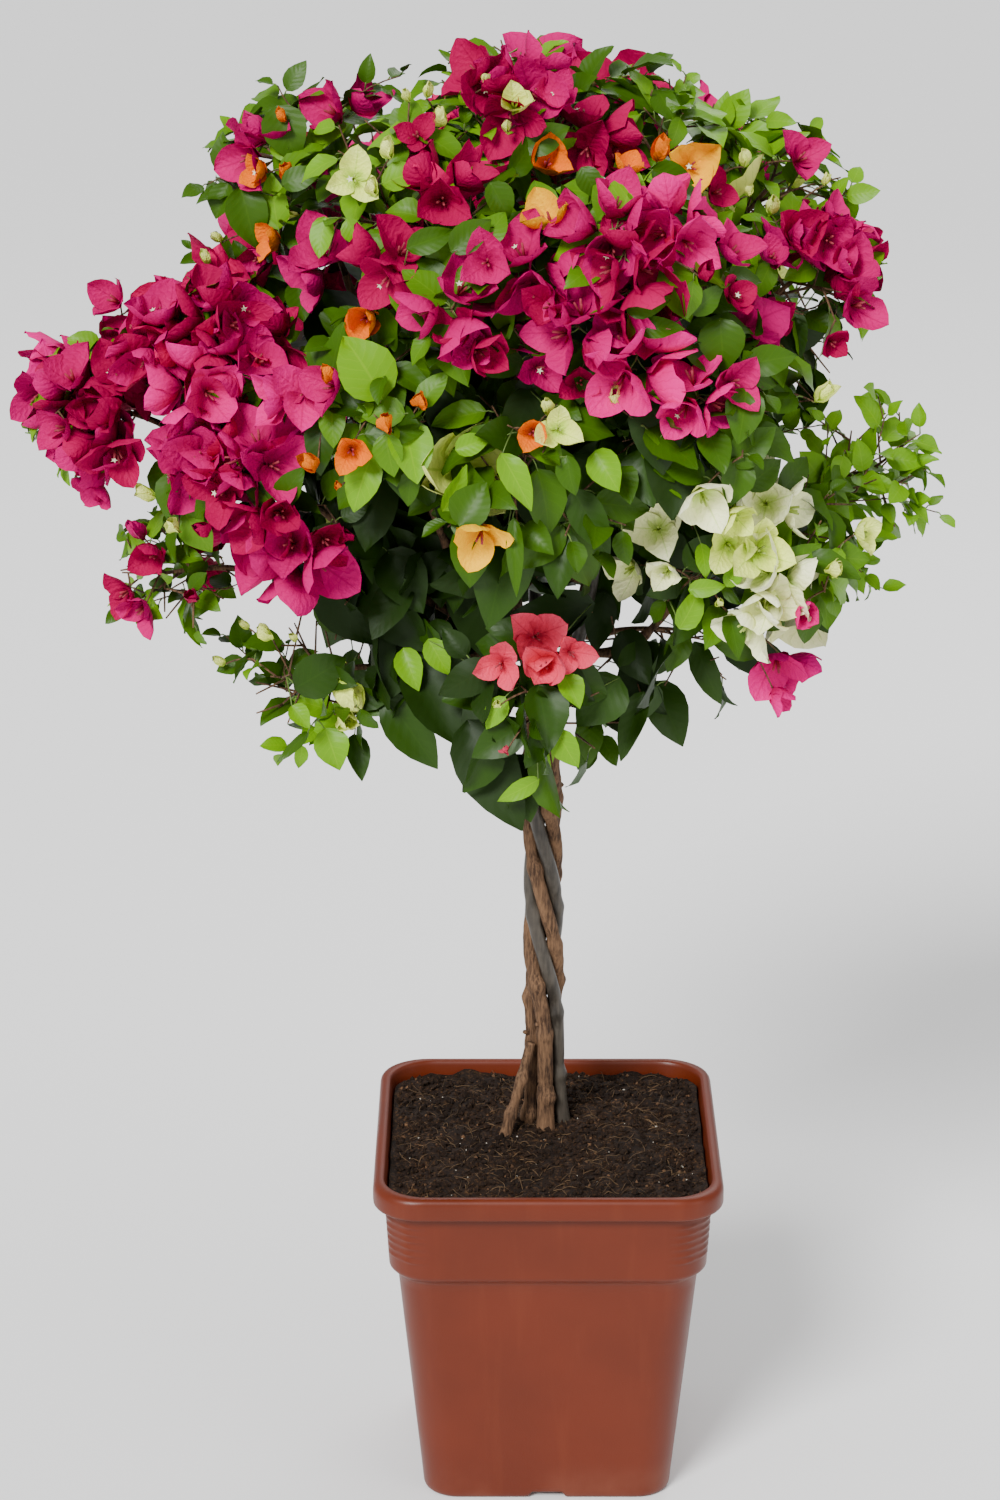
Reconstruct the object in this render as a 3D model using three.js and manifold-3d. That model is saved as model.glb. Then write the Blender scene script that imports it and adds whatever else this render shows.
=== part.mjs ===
// A bougainvillea grown as a standard: five stems wound round each other rise from a square plastic pot
// and carry a round head of leaves and papery blossom. Millimetres, +Z up, front towards -Y, origin at
// the centre of the pot's underside.
import * as THREE from "three";
import { mergeVertices } from "three/addons/utils/BufferGeometryUtils.js";
import Module from "manifold-3d";

const wasm = await Module();
wasm.setup();

// ---------------------------------------------------------------- driving dimensions
const CLEARANCE = 0.3; // between any two solids
const GOLDEN_ANGLE = THREE.MathUtils.degToRad(137.5);

const POT = {
  height: 227,
  rimHalf: 110, // half the width over the lip
  rimTopWidth: 7,
  lipHeight: 14.5,
  bandTopHalf: 103, // the upright band under the lip
  bandFootHalf: 100.5,
  bandFootZ: 169,
  bodyTopHalf: 95, // the tapered body under the band
  bodyTopZ: 161,
  footHalf: 79.8,
  footEdge: 3,
  wall: 2.2,
  floor: 3,
  cornerShare: 0.27, // corner radius as a share of the half width
  cornerSteps: 3,
};
const NOTCH = { width: 27, height: 5, depth: 14, slope: 4 }; // water gap under each side

const SOIL = { plateauZ: 221.7, edgeZ: 219, plateauHalf: 38, roughness: 2.2, rings: [1, 0.82, 0.6] };

const TRUNK = {
  axisFoot: new THREE.Vector2(-0.5, 22), // the middle of the twist at the soil, behind the pot's centre
  axisTop: new THREE.Vector2(-4.5, 2), // and at the top, where it has leaned back over the pot's centre
  footZ: 222,
  braidTopZ: 510,
  braidRadius: 8.2, // from the axis to each stem's middle
  footSpread: 3.8, // more than that at the soil
  footFade: 26,
  twistStartZ: 282, // the stems stand straight below this
  twistEase: 40,
  pitch: 200, // height of one full turn
  radius: 4.4,
  topRadius: 3.5,
  flare: 0.38, // root flare, as a share of the radius
  flareFade: 11,
  leaderTaper: 0.9, // how fast a stem thins once it is a leader in the head
  sides: 6,
  steps: 23,
};
// The stems in the order in which they pass the front, going up. Each ends as the leader of one mass.
const STEMS = [
  { name: "stem_front", foot: -90, girth: 1.16, bark: "barkBrown", leads: "front_left_high" },
  { name: "stem_right", foot: -18, girth: 0.94, bark: "barkGrey", leads: "front_right_high" },
  { name: "stem_back_right", foot: 54, girth: 1.0, bark: "barkBrown", leads: "top_right" },
  { name: "stem_back_left", foot: 126, girth: 0.94, bark: "barkGrey", leads: "back_top" },
  { name: "stem_left", foot: 198, girth: 1.0, bark: "barkBrown", leads: "top_left" },
];
// A shorter stem that leans on the others and was cut off.
const CUT_STEM = {
  name: "stem_cut_short",
  foot: [-28.5, -3],
  top: [-10.5, 6.5],
  topZ: 283,
  radius: 3.4,
  topRadius: 3,
  steps: 5,
};

const BOUGH = {
  radius: 2.8,
  tipRadius: 2.2,
  sides: 4,
  steps: 4,
  firstHeight: 0.1, // share of a leader at which its lowest bough leaves it
  lastHeight: 0.78,
  bow: 0.4, // how far it swings out, as a share of its length
  farthest: 0.6, // share of the way out to a mass's middle that its bough leaves to the mass's stem
};

// Each mass: where its middle is, how far it reaches, what it bears, and the stem that feeds it.
const MASSES = [
  { name: "top_centre", at: [-25, -38, 876], reach: 66, bears: "magenta", from: "stem_front" },
  { name: "top_left", at: [-142, 0, 834], reach: 73, bears: "mixed", from: "stem_left" },
  { name: "top_left_front", at: [-84, -72, 842], reach: 70, bears: "green", from: "stem_front" },
  { name: "top_right", at: [61, -10, 850], reach: 67, bears: "mixed", from: "stem_back_right" },
  { name: "right_top", at: [121, 10, 822], reach: 68, bears: "green", from: "stem_back_right" },
  { name: "right_magenta", at: [143, -38, 788], reach: 56, bears: "magenta", from: "stem_back_right" },
  { name: "front_left_high", at: [-46, -118, 806], reach: 74, bears: "magenta", from: "stem_front" },
  { name: "front_right_high", at: [40, -122, 806], reach: 76, bears: "magenta", from: "stem_right" },
  { name: "front_right", at: [84, -124, 735], reach: 70, bears: "magenta", from: "stem_right" },
  { name: "front_left", at: [-98, -112, 732], reach: 70, bears: "mixed", from: "stem_front" },
  { name: "front_centre_low", at: [-14, -132, 690], reach: 74, bears: "green", from: "stem_right" },
  { name: "left_upper", at: [-194, -56, 744], reach: 68, bears: "magenta", from: "stem_left" },
  { name: "left_tip", at: [-260, -50, 714], reach: 53, bears: "magenta", from: "stem_left" },
  { name: "left_lower", at: [-168, -78, 678], reach: 69, bears: "magenta", from: "stem_front" },
  { name: "left_small", at: [-221, -44, 613], reach: 48, bears: "magenta", from: "stem_left" },
  { name: "low_left_spray", at: [-140, -46, 548], reach: 54, bears: "green", from: "stem_left" },
  { name: "low_left_dark", at: [-84, -22, 594], reach: 76, bears: "dark", from: "stem_left" },
  { name: "low_front", at: [-16, -62, 542], reach: 86, bears: "coral", from: "stem_front" },
  { name: "low_right_dark", at: [62, -14, 567], reach: 70, bears: "dark", from: "stem_back_right" },
  { name: "right_white", at: [116, -82, 636], reach: 76, bears: "white", from: "stem_right" },
  { name: "right_arching", at: [182, -14, 664], reach: 58, bears: "green", from: "stem_back_right" },
  { name: "right_middle", at: [118, 48, 722], reach: 74, bears: "green", from: "stem_back_right" },
  { name: "back_top", at: [6, 84, 836], reach: 78, bears: "magenta", from: "stem_back_left" },
  { name: "back_left", at: [-118, 96, 764], reach: 86, bears: "magenta", from: "stem_left" },
  { name: "back_right", at: [104, 126, 786], reach: 80, bears: "mixed", from: "stem_back_left" },
  { name: "back_centre", at: [-8, 154, 744], reach: 79, bears: "magenta", from: "stem_back_left" },
  { name: "back_low_left", at: [-82, 94, 640], reach: 84, bears: "green", from: "stem_back_left" },
  { name: "back_low_right", at: [66, 104, 640], reach: 84, bears: "white", from: "stem_back_left" },
];
// What each kind bears: the twigs, the leaves along each, and the share of twigs that end in a blossom.
// The other twigs end in a whorl of three leaves.
const BEARS = {
  magenta: { twigs: 6, leaves: 2, blossom: 1.0, colour: "bractMagenta" },
  mixed: { twigs: 5, leaves: 3, blossom: 0.5, colour: "leafGreen" },
  white: { twigs: 5, leaves: 3, blossom: 0.6, colour: "bractWhite" },
  coral: { twigs: 5, leaves: 3, blossom: 0.3, colour: "leafDark" },
  green: { twigs: 5, leaves: 3, blossom: 0.0, colour: "leafGreen" },
  dark: { twigs: 5, leaves: 3, blossom: 0.0, colour: "leafDark" },
};
const TWIG = {
  stemRadius: 2.8, // the mass's own stem, thicker than what opens from it
  stemTipRadius: 2.4,
  stemSteps: 2,
  radius: 1.2,
  tipRadius: 1,
  sides: 3,
  entry: 0.72, // how far out the mass's stem begins, as a share of its reach
  onward: 0.3, // and how far past the middle it runs
  wide: 112, // degrees from the stem at its foot, closing to the narrow angle at its tip
  narrow: 24,
  shortest: 0.4, // share of the way to the edge that even a shortened twig keeps
};
const LEAF = { length: 78, width: 0.7, thickness: 0.03, fold: 0.09, sunk: 0.6, widest: 0.42, gap: 1.2 };
// Three pointed bracts round one centre, open to a shallow cup, and three leaves in the same way.
const BLOSSOM = { length: 52, dip: 0.58, opening: 62, centre: 3, sunk: 1, room: 36 };
const WHORL = { length: 72, dip: 0.36, opening: 58, centre: 3, sunk: 1, room: 46 };
const TRIES = 12; // turns tried before a leaf or blossom is left out
const FIRST_SEED = 163; // each mass grows from its own seed
const SEED_STEP = 17;
const WELD = 0.02; // edges shorter than this are closed up
const TRY_SHRINK = 0.05; // how much smaller each next try is

const MATERIALS = {
  potPlastic: finish(0xa5482c, 0.42),
  soil: finish(0x2c1e16, 0.95),
  barkBrown: finish(0x7d6450, 0.85),
  barkGrey: finish(0x5f5c59, 0.7),
  leafGreen: finish(0x4f8a2a, 0.5),
  leafDark: finish(0x27482a, 0.5),
  bractMagenta: finish(0xc4155e, 0.6),
  bractWhite: finish(0xe9edc9, 0.6),
};

// ---------------------------------------------------------------- shapes in general
function finish(color, roughness) {
  return new THREE.MeshStandardMaterial({ color, roughness, metalness: 0, flatShading: true });
}

// The same draws for the same seed, each from 0 to 1.
function seededDraws(seed) {
  let state = seed >>> 0;
  const draw = () => {
    state = (Math.imul(state, 1664525) + 1013904223) >>> 0;
    return state / 4294967296;
  };
  for (let i = 0; i < 4; i++) draw();
  return draw;
}

// A closed surface through rings of points that run anticlockwise seen against the way the rings go.
function loft(rings) {
  const count = rings[0].length;
  const last = (rings.length - 1) * count;
  const faces = [];
  for (let i = 0; i < last; i += count) {
    for (let j = 0; j < count; j++) {
      const [a, b] = [i + j, i + ((j + 1) % count)];
      faces.push(a, b, b + count, a, b + count, a + count);
    }
  }
  for (let j = 1; j + 1 < count; j++) {
    faces.push(0, j + 1, j, last, last + j, last + j + 1);
  }
  const geometry = new THREE.BufferGeometry().setFromPoints(rings.flat());
  geometry.setIndex(faces);
  return geometry;
}

// A level ring in the shape of a square with round corners.
function squareRing(half, z, cornerShare = POT.cornerShare) {
  const radius = half * cornerShare;
  const ring = [];
  for (let corner = 0; corner < 4; corner++) {
    for (let step = 0; step <= POT.cornerSteps; step++) {
      const angle = ((corner + step / POT.cornerSteps) * Math.PI) / 2;
      const diagonal = ((corner + 0.5) * Math.PI) / 2;
      const out = Math.SQRT2 * (half - radius);
      const x = out * Math.cos(diagonal) + radius * Math.cos(angle);
      const y = out * Math.sin(diagonal) + radius * Math.sin(angle);
      ring.push(new THREE.Vector3(x, y, z));
    }
  }
  return ring;
}

// A round limb along a curve, its radius given along it from 0 to 1. A flat foot is cut level at its start.
function limbGeometry(curve, radiusAt, sides, steps, flatFoot = false) {
  const frames = curve.computeFrenetFrames(steps, false);
  const rings = [];
  for (let i = 0; i <= steps; i++) {
    const centre = curve.getPointAt(i / steps);
    const radius = radiusAt(i / steps);
    const ring = [];
    for (let j = 0; j < sides; j++) {
      const angle = (2 * Math.PI * j) / sides;
      const point = centre.clone().addScaledVector(frames.normals[i], radius * Math.cos(angle));
      point.addScaledVector(frames.binormals[i], radius * Math.sin(angle));
      const along = frames.tangents[i];
      if (flatFoot && i === 0) point.addScaledVector(along, (centre.z - point.z) / along.z);
      ring.push(point);
    }
    rings.push(ring);
  }
  return loft(rings);
}

// A point on the straight lengths that a curve's solid is built of.
function chordPoint(curve, steps, share) {
  const i = Math.min(Math.floor(share * steps), steps - 1);
  return curve.getPointAt(i / steps).lerp(curve.getPointAt((i + 1) / steps), share * steps - i);
}

// A thin blade of eight faces: root, tip and two edges round a slightly thicker midrib.
function bladePoints(root, along, up, size, length) {
  const side = new THREE.Vector3().crossVectors(along, up).normalize();
  const face = new THREE.Vector3().crossVectors(side, along).normalize();
  const place = (onward, across, lift) =>
    root
      .clone()
      .addScaledVector(along, onward)
      .addScaledVector(side, across)
      .addScaledVector(face, lift);
  const half = (size.width * length) / 2;
  const middle = size.widest * length;
  const raised = size.fold * length;
  const thick = (size.thickness * length) / 2;
  return [
    place(-size.sunk, 0, 0),
    place(middle, half, raised),
    place(length, 0, 0),
    place(middle, -half, raised),
    place(middle, 0, thick),
    place(middle, 0, -thick),
  ];
}

function bladeGeometry(points) {
  const geometry = new THREE.BufferGeometry().setFromPoints(points);
  geometry.setIndex([0, 1, 4, 1, 2, 4, 2, 3, 4, 3, 0, 4, 1, 0, 5, 2, 1, 5, 3, 2, 5, 0, 3, 5]);
  return geometry;
}

// The outline of a blossom or whorl that faces along a direction, with its outer and inner centre last.
function starPoints(root, onward, turn, size, length) {
  const place = (share, degrees, opening) =>
    root.clone().addScaledVector(
      directionAround(onward, THREE.MathUtils.degToRad(opening), turn + THREE.MathUtils.degToRad(degrees)),
      share * length,
    );
  const outline = [];
  for (let lobe = 0; lobe < 3; lobe++) {
    outline.push(place(1, lobe * 120, size.opening));
    outline.push(place(size.dip, lobe * 120 + 60, size.opening));
  }
  const centre = root.clone().addScaledVector(onward, size.centre);
  return [...outline, centre, root.clone().addScaledVector(onward, -size.sunk)];
}

function starGeometry(points) {
  const count = points.length - 2;
  const faces = [];
  for (let i = 0; i < count; i++) {
    const next = (i + 1) % count;
    faces.push(count, i, next, count + 1, next, i);
  }
  const geometry = new THREE.BufferGeometry().setFromPoints(points);
  geometry.setIndex(faces);
  return geometry;
}

// ---------------------------------------------------------------- solids joined and cut
function solidFrom(geometry) {
  const bare = geometry.clone();
  bare.deleteAttribute("normal");
  bare.deleteAttribute("uv");
  const merged = mergeVertices(bare, 1e-4);
  const mesh = new wasm.Mesh({
    numProp: 3,
    vertProperties: new Float32Array(merged.attributes.position.array),
    triVerts: new Uint32Array(merged.index.array),
  });
  return new wasm.Manifold(mesh);
}

function geometryFrom(solid) {
  const mesh = solid.getMesh();
  const geometry = new THREE.BufferGeometry();
  geometry.setAttribute("position", new THREE.BufferAttribute(new Float32Array(mesh.vertProperties), 3));
  geometry.setIndex(new THREE.BufferAttribute(new Uint32Array(mesh.triVerts), 1));
  return geometry;
}

// The largest body of a joined solid, with loose scraps and sealed hollows left out.
function largestBody(solid) {
  return solid.decompose().reduce((best, body) => (body.volume() > best.volume() ? body : best));
}

// ---------------------------------------------------------------- pot and soil
function potGeometry() {
  const lipFootZ = POT.height - POT.lipHeight;
  const innerRim = POT.rimHalf - POT.rimTopWidth;
  const outside = [
    [POT.footHalf - POT.footEdge, 0],
    [POT.footHalf, POT.footEdge],
    [POT.bodyTopHalf, POT.bodyTopZ],
    [POT.bandFootHalf - 0.6, POT.bandFootZ - 3],
    [POT.bandFootHalf, POT.bandFootZ],
    [POT.bandTopHalf, lipFootZ],
    [POT.rimHalf - 1.2, lipFootZ],
    [POT.rimHalf, lipFootZ + 1.5],
    [POT.rimHalf - 0.6, POT.height - 2.5],
    [POT.rimHalf - 2.5, POT.height],
  ];
  const inside = [
    [innerRim, POT.height],
    [innerRim - 1, POT.height - 2],
    [POT.bandTopHalf - POT.wall, lipFootZ],
    [POT.bandFootHalf - POT.wall, POT.bandFootZ + POT.wall],
    [POT.bodyTopHalf - POT.wall, POT.bodyTopZ],
    [POT.footHalf - POT.wall, POT.floor],
  ];
  const shell = solidFrom(loft([...outside, ...inside].map(([half, z]) => squareRing(half, z))));
  return geometryFrom(notches().reduce((pot, notch) => pot.subtract(notch), shell));
}

// The gaps in the pot's foot, one in the middle of each side, narrower at the top.
function notches() {
  const halfFoot = NOTCH.width / 2;
  const profile = new THREE.Shape([
    new THREE.Vector2(-halfFoot, -1),
    new THREE.Vector2(halfFoot, -1),
    new THREE.Vector2(halfFoot - NOTCH.slope, POT.floor - 0.8),
    new THREE.Vector2(-halfFoot + NOTCH.slope, POT.floor - 0.8),
  ]);
  return [0, 1, 2, 3].map((side) => {
    const block = new THREE.ExtrudeGeometry(profile, { depth: NOTCH.depth, bevelEnabled: false });
    block.rotateX(Math.PI / 2);
    block.translate(0, -POT.footHalf + NOTCH.depth, 0);
    block.rotateZ((side * Math.PI) / 2);
    return solidFrom(block);
  });
}

// Height of the potting soil: level round the stems, rough and a little lower towards the wall.
function soilHeight(x, y) {
  const out = Math.max(Math.abs(x), Math.abs(y));
  const fall = THREE.MathUtils.smoothstep(out, SOIL.plateauHalf, POT.bodyTopHalf);
  const waves = Math.sin(0.11 * x + 1.3) * Math.cos(0.13 * y - 0.4) + 0.6 * Math.sin(0.29 * x - 0.21 * y);
  return THREE.MathUtils.lerp(SOIL.plateauZ, SOIL.edgeZ, fall) + fall * SOIL.roughness * 0.6 * waves;
}

function soilGeometry() {
  const inset = POT.wall + CLEARANCE;
  const lipFootZ = POT.height - POT.lipHeight;
  const wallAt = [
    [POT.footHalf - inset, POT.floor + CLEARANCE],
    [POT.bodyTopHalf - inset, POT.bodyTopZ],
    [POT.bandFootHalf - inset, POT.bandFootZ + POT.wall],
    [POT.bandTopHalf - inset - 0.2, lipFootZ],
  ];
  const topHalf = POT.bandTopHalf - inset - 0.2;
  const surface = SOIL.rings.map((share) =>
    squareRing(topHalf * share, 0).map((p) => p.setZ(soilHeight(p.x, p.y))),
  );
  const plateau = squareRing(SOIL.plateauHalf, SOIL.plateauZ);
  return loft([...wallAt.map(([half, z]) => squareRing(half, z)), ...surface, plateau]);
}

// ---------------------------------------------------------------- stems and boughs
// How far the twist has turned at a height, in degrees: none at the foot, easing into an even pitch.
function twistAt(z) {
  const above = Math.min(z, TRUNK.braidTopZ) - TRUNK.twistStartZ;
  const eased = above < TRUNK.twistEase ? above ** 2 / (2 * TRUNK.twistEase) : above - TRUNK.twistEase / 2;
  return above <= 0 ? 0 : (-360 * eased) / TRUNK.pitch;
}

// The middle of the twist at a height: a straight, slightly leaning line.
function axisAt(z) {
  const share = (z - TRUNK.footZ) / (TRUNK.braidTopZ - TRUNK.footZ);
  return TRUNK.axisFoot.clone().lerp(TRUNK.axisTop, share);
}

function braidPoint(stem, z) {
  const angle = THREE.MathUtils.degToRad(stem.foot + twistAt(z));
  const axis = axisAt(z);
  const spread = TRUNK.braidRadius + TRUNK.footSpread * Math.exp(-(z - TRUNK.footZ) / TRUNK.footFade);
  return new THREE.Vector3(
    axis.x + spread * Math.cos(angle),
    axis.y + spread * Math.sin(angle),
    z,
  );
}

const massNamed = (name) => MASSES.find((mass) => mass.name === name);
const middleOf = (mass) => new THREE.Vector3(...mass.at);

// Where a mass's own stem begins: on its near side, seen from the point that feeds it.
function entryOf(mass, feeder) {
  const middle = middleOf(mass);
  const back = feeder.clone().sub(middle);
  const out = Math.min(mass.reach * TWIG.entry, back.length() * BOUGH.farthest);
  return middle.addScaledVector(back.normalize(), out);
}

function stemLimb(stem) {
  const points = [];
  for (let z = TRUNK.footZ; z < TRUNK.braidTopZ; z += 15) points.push(braidPoint(stem, z));
  const fork = braidPoint(stem, TRUNK.braidTopZ);
  const outward = new THREE.Vector3(fork.x - TRUNK.axisTop.x, fork.y - TRUNK.axisTop.y, 0).normalize();
  const entry = entryOf(massNamed(stem.leads), fork);
  const half = fork.clone().lerp(entry, 0.45).addScaledVector(outward, 12);
  points.push(fork, fork.clone().lerp(half, 0.5).addScaledVector(outward, 3), half, entry);
  const curve = new THREE.CatmullRomCurve3(points, false, "centripetal");
  const length = curve.getLength();
  const radiusAt = (share) => {
    const plain = THREE.MathUtils.lerp(TRUNK.radius, TRUNK.topRadius, share);
    const girth = THREE.MathUtils.lerp(stem.girth, 1, Math.min(1, share * 2.4));
    const flare = 1 + TRUNK.flare * Math.exp((-share * length) / TRUNK.flareFade);
    const leader = 1 - TRUNK.leaderTaper * Math.max(0, share - 0.66);
    return plain * girth * flare * leader;
  };
  const { name, bark } = stem;
  return { name, bark, curve, radiusAt, sides: TRUNK.sides, steps: TRUNK.steps, flatFoot: true };
}

function cutStemLimb() {
  const foot = new THREE.Vector3(...CUT_STEM.foot, TRUNK.footZ);
  const top = new THREE.Vector3(...CUT_STEM.top, CUT_STEM.topZ);
  const bend = foot.clone().lerp(top, 0.5).add(new THREE.Vector3(1.5, -1, 4));
  const curve = new THREE.QuadraticBezierCurve3(foot, bend, top);
  const radiusAt = (share) => {
    const plain = THREE.MathUtils.lerp(CUT_STEM.radius, CUT_STEM.topRadius, share);
    return plain * (1 + TRUNK.flare * Math.exp(-share * 6));
  };
  const { name, steps } = CUT_STEM;
  return { name, curve, radiusAt, sides: TRUNK.sides, steps, flatFoot: true, bark: "barkBrown" };
}

// The share of a stem's curve at which it reaches a height.
function shareAtHeight(limb, z) {
  let share = 0;
  while (share < 1 && limb.curve.getPointAt(share).z < z) share += 0.005;
  return Math.min(share, 1);
}

// A bough leaves its stem square to it, clear of the bark, and bows over to its mass.
function boughLimb(mass, stem, share) {
  const origin = chordPoint(stem.curve, stem.steps, share);
  const along = chordPoint(stem.curve, stem.steps, share + 0.002).sub(origin).normalize();
  const towards = middleOf(mass).sub(origin);
  const square = towards.clone().addScaledVector(along, -towards.dot(along)).normalize();
  const start = origin.addScaledVector(square, stem.radiusAt(share) + CLEARANCE);
  const entry = entryOf(mass, start);
  const span = start.distanceTo(entry);
  const bend = start.clone().addScaledVector(square, span * BOUGH.bow);
  const curve = new THREE.QuadraticBezierCurve3(start, bend, entry);
  const radiusAt = (s) => THREE.MathUtils.lerp(BOUGH.radius, BOUGH.tipRadius, s);
  const { sides, steps } = BOUGH;
  return { name: "bough_" + mass.name, curve, radiusAt, sides, steps, bark: "barkBrown" };
}

// The boughs of one stem, the lowest mass fed from lowest down.
function boughsOf(stem, limb) {
  const fed = MASSES.filter((mass) => mass.from === stem.name && mass.name !== stem.leads);
  fed.sort((a, b) => a.at[2] - b.at[2]);
  const first = shareAtHeight(limb, TRUNK.braidTopZ);
  return fed.map((mass, rank) => {
    const rise = THREE.MathUtils.lerp(BOUGH.firstHeight, BOUGH.lastHeight, (rank + 0.5) / fed.length);
    return { mass, limb: boughLimb(mass, limb, THREE.MathUtils.lerp(first, 1, rise)) };
  });
}

// ---------------------------------------------------------------- masses of leaves and blossom
// Every limb a little thicker than it is, which no leaf or twig may touch.
function limbGuard(limbs) {
  const thick = limbs.map(({ curve, radiusAt, sides, steps }) =>
    solidFrom(limbGeometry(curve, (share) => radiusAt(share) + LEAF.gap, sides, steps)),
  );
  return wasm.Manifold.union(thick);
}

// True where a point is nearer to this mass than to any other, weighed by their reaches, and within reach.
// Such a space is convex, so a blade keeps to it where its corners do.
function inOwnSpace(mass, point, margin) {
  const own = middleOf(mass);
  const toOwn = point.distanceToSquared(own) - mass.reach ** 2;
  if (toOwn > -2 * mass.reach * margin) return false;
  return MASSES.every((other) => {
    if (other === mass) return true;
    const centre = middleOf(other);
    const toOther = point.distanceToSquared(centre) - other.reach ** 2;
    return toOther - toOwn >= 2 * own.distanceTo(centre) * margin;
  });
}

// A unit direction at an angle from an axis, turned round it.
function directionAround(axis, opening, turn) {
  const helper = Math.abs(axis.z) < 0.9 ? new THREE.Vector3(0, 0, 1) : new THREE.Vector3(1, 0, 0);
  const side = new THREE.Vector3().crossVectors(axis, helper).normalize();
  const other = new THREE.Vector3().crossVectors(axis, side);
  return axis
    .clone()
    .multiplyScalar(Math.cos(opening))
    .addScaledVector(side, Math.sin(opening) * Math.cos(turn))
    .addScaledVector(other, Math.sin(opening) * Math.sin(turn));
}

// How far a ray runs before it leaves the mass's reach.
function distanceToReach(mass, start, direction) {
  const offset = start.clone().sub(middleOf(mass));
  const along = offset.dot(direction);
  return -along + Math.sqrt(Math.max(0, along ** 2 - offset.lengthSq() + mass.reach ** 2));
}

// The mass's own stem, which grows on from its bough's tip, and the twigs that open from it, each turned on
// from the last by the golden angle.
function growTwigs(mass, feeder, draw) {
  const from = feeder.curve.getPointAt(1);
  const onward = feeder.curve.getTangentAt(1);
  const start = from.clone().addScaledVector(onward, CLEARANCE);
  const middle = middleOf(mass);
  const axis = middle.clone().sub(start).normalize();
  const end = middle.clone().addScaledVector(axis, mass.reach * TWIG.onward);
  const bend = start.clone().addScaledVector(onward, start.distanceTo(end) * 0.3);
  const stem = new THREE.QuadraticBezierCurve3(start, bend, end);
  const count = BEARS[mass.bears].twigs;
  const twigs = [];
  for (let i = 0; i < count; i++) {
    const share = THREE.MathUtils.lerp(0.3, 1, (i + 0.5) / count);
    const opening = THREE.MathUtils.lerp(TWIG.wide, TWIG.narrow, share) + 16 * (draw() - 0.5);
    const turn = i * GOLDEN_ANGLE + 0.5 * draw();
    const direction = directionAround(axis, THREE.MathUtils.degToRad(opening), turn);
    const flowers = draw() < BEARS[mass.bears].blossom;
    const root = chordPoint(stem, TWIG.stemSteps, share);
    const span = distanceToReach(mass, root, direction);
    const room = (flowers ? BLOSSOM : WHORL).room * (0.8 + 0.4 * draw());
    const length = Math.max(span - room, span * TWIG.shortest);
    const line = new THREE.LineCurve3(root, root.clone().addScaledVector(direction, length));
    twigs.push({ line, flowers });
  }
  return { stem, twigs };
}

// A twig is shortened until it keeps to its mass's space and clear of every limb; a stub is left out.
function fitTwig(mass, line, guard) {
  const radiusAt = (share) => THREE.MathUtils.lerp(TWIG.radius, TWIG.tipRadius, share);
  for (let share = 1; share > 0.3; share -= 0.1) {
    const twig = new THREE.LineCurve3(line.v1, line.getPoint(share));
    const solid = solidFrom(limbGeometry(twig, radiusAt, TWIG.sides, 1));
    const inSpace = inOwnSpace(mass, twig.v2, TWIG.radius + CLEARANCE);
    if (inSpace && guard.intersect(solid).isEmpty()) return { twig, solid };
  }
  return null;
}

// A leaf or blossom is free where it keeps to the mass's space and is clear of limbs and of what has grown.
function isFree(mass, points, solid, guard, grown) {
  const inSpace = points.every((p) => inOwnSpace(mass, p, 2 * CLEARANCE));
  return inSpace && [guard, grown].every((other) => other.intersect(solid).isEmpty());
}

// One leaf on a twig, turned on until it is free; null where it can't be.
function fitLeaf(mass, twig, share, draw, guard, grown) {
  const up = new THREE.Vector3(0.05, 0.03, 1);
  const opening = THREE.MathUtils.degToRad(56 + 16 * draw());
  const length = LEAF.length * (0.8 + 0.36 * draw());
  const turn = 2 * Math.PI * draw();
  for (let i = 0; i < TRIES; i++) {
    const along = directionAround(twig.getTangentAt(share), opening, turn + i * GOLDEN_ANGLE);
    along.z -= 0.16;
    const shrunk = length * (1 - TRY_SHRINK * i);
    const points = bladePoints(twig.getPointAt(share), along.normalize(), up, LEAF, shrunk);
    const solid = solidFrom(bladeGeometry(points));
    if (isFree(mass, points.slice(1), solid, guard, grown)) return solid;
  }
  return null;
}

// A blossom or whorl at a twig's tip, turned and made smaller until it is free; null where it can't be.
function fitStar(mass, twig, size, draw, guard, grown) {
  const turn = 2 * Math.PI * draw();
  const length = size.length * (0.88 + 0.24 * draw());
  for (let i = 0; i < TRIES; i++) {
    const shrunk = length * (1 - TRY_SHRINK * i);
    const points = starPoints(twig.getPointAt(1), twig.getTangentAt(1), turn + i * 0.5, size, shrunk);
    const solid = solidFrom(starGeometry(points));
    if (isFree(mass, points, solid, guard, grown)) return solid;
  }
  return null;
}

// What grows on a twig: a blossom or a whorl at its end, and leaves along it.
function growOnTwig(mass, twig, flowers, draw, guard, others) {
  const { leaves } = BEARS[mass.bears];
  const grown = [];
  const keep = (solid) => {
    if (!solid) return;
    grown.push(solid);
    others = others.add(solid);
  };
  keep(fitStar(mass, twig, flowers ? BLOSSOM : WHORL, draw, guard, others));
  for (let i = 0; i < leaves; i++) {
    const share = THREE.MathUtils.lerp(0.4, 0.75, i / (leaves - 1));
    keep(fitLeaf(mass, twig, share, draw, guard, others));
  }
  return grown;
}

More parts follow.
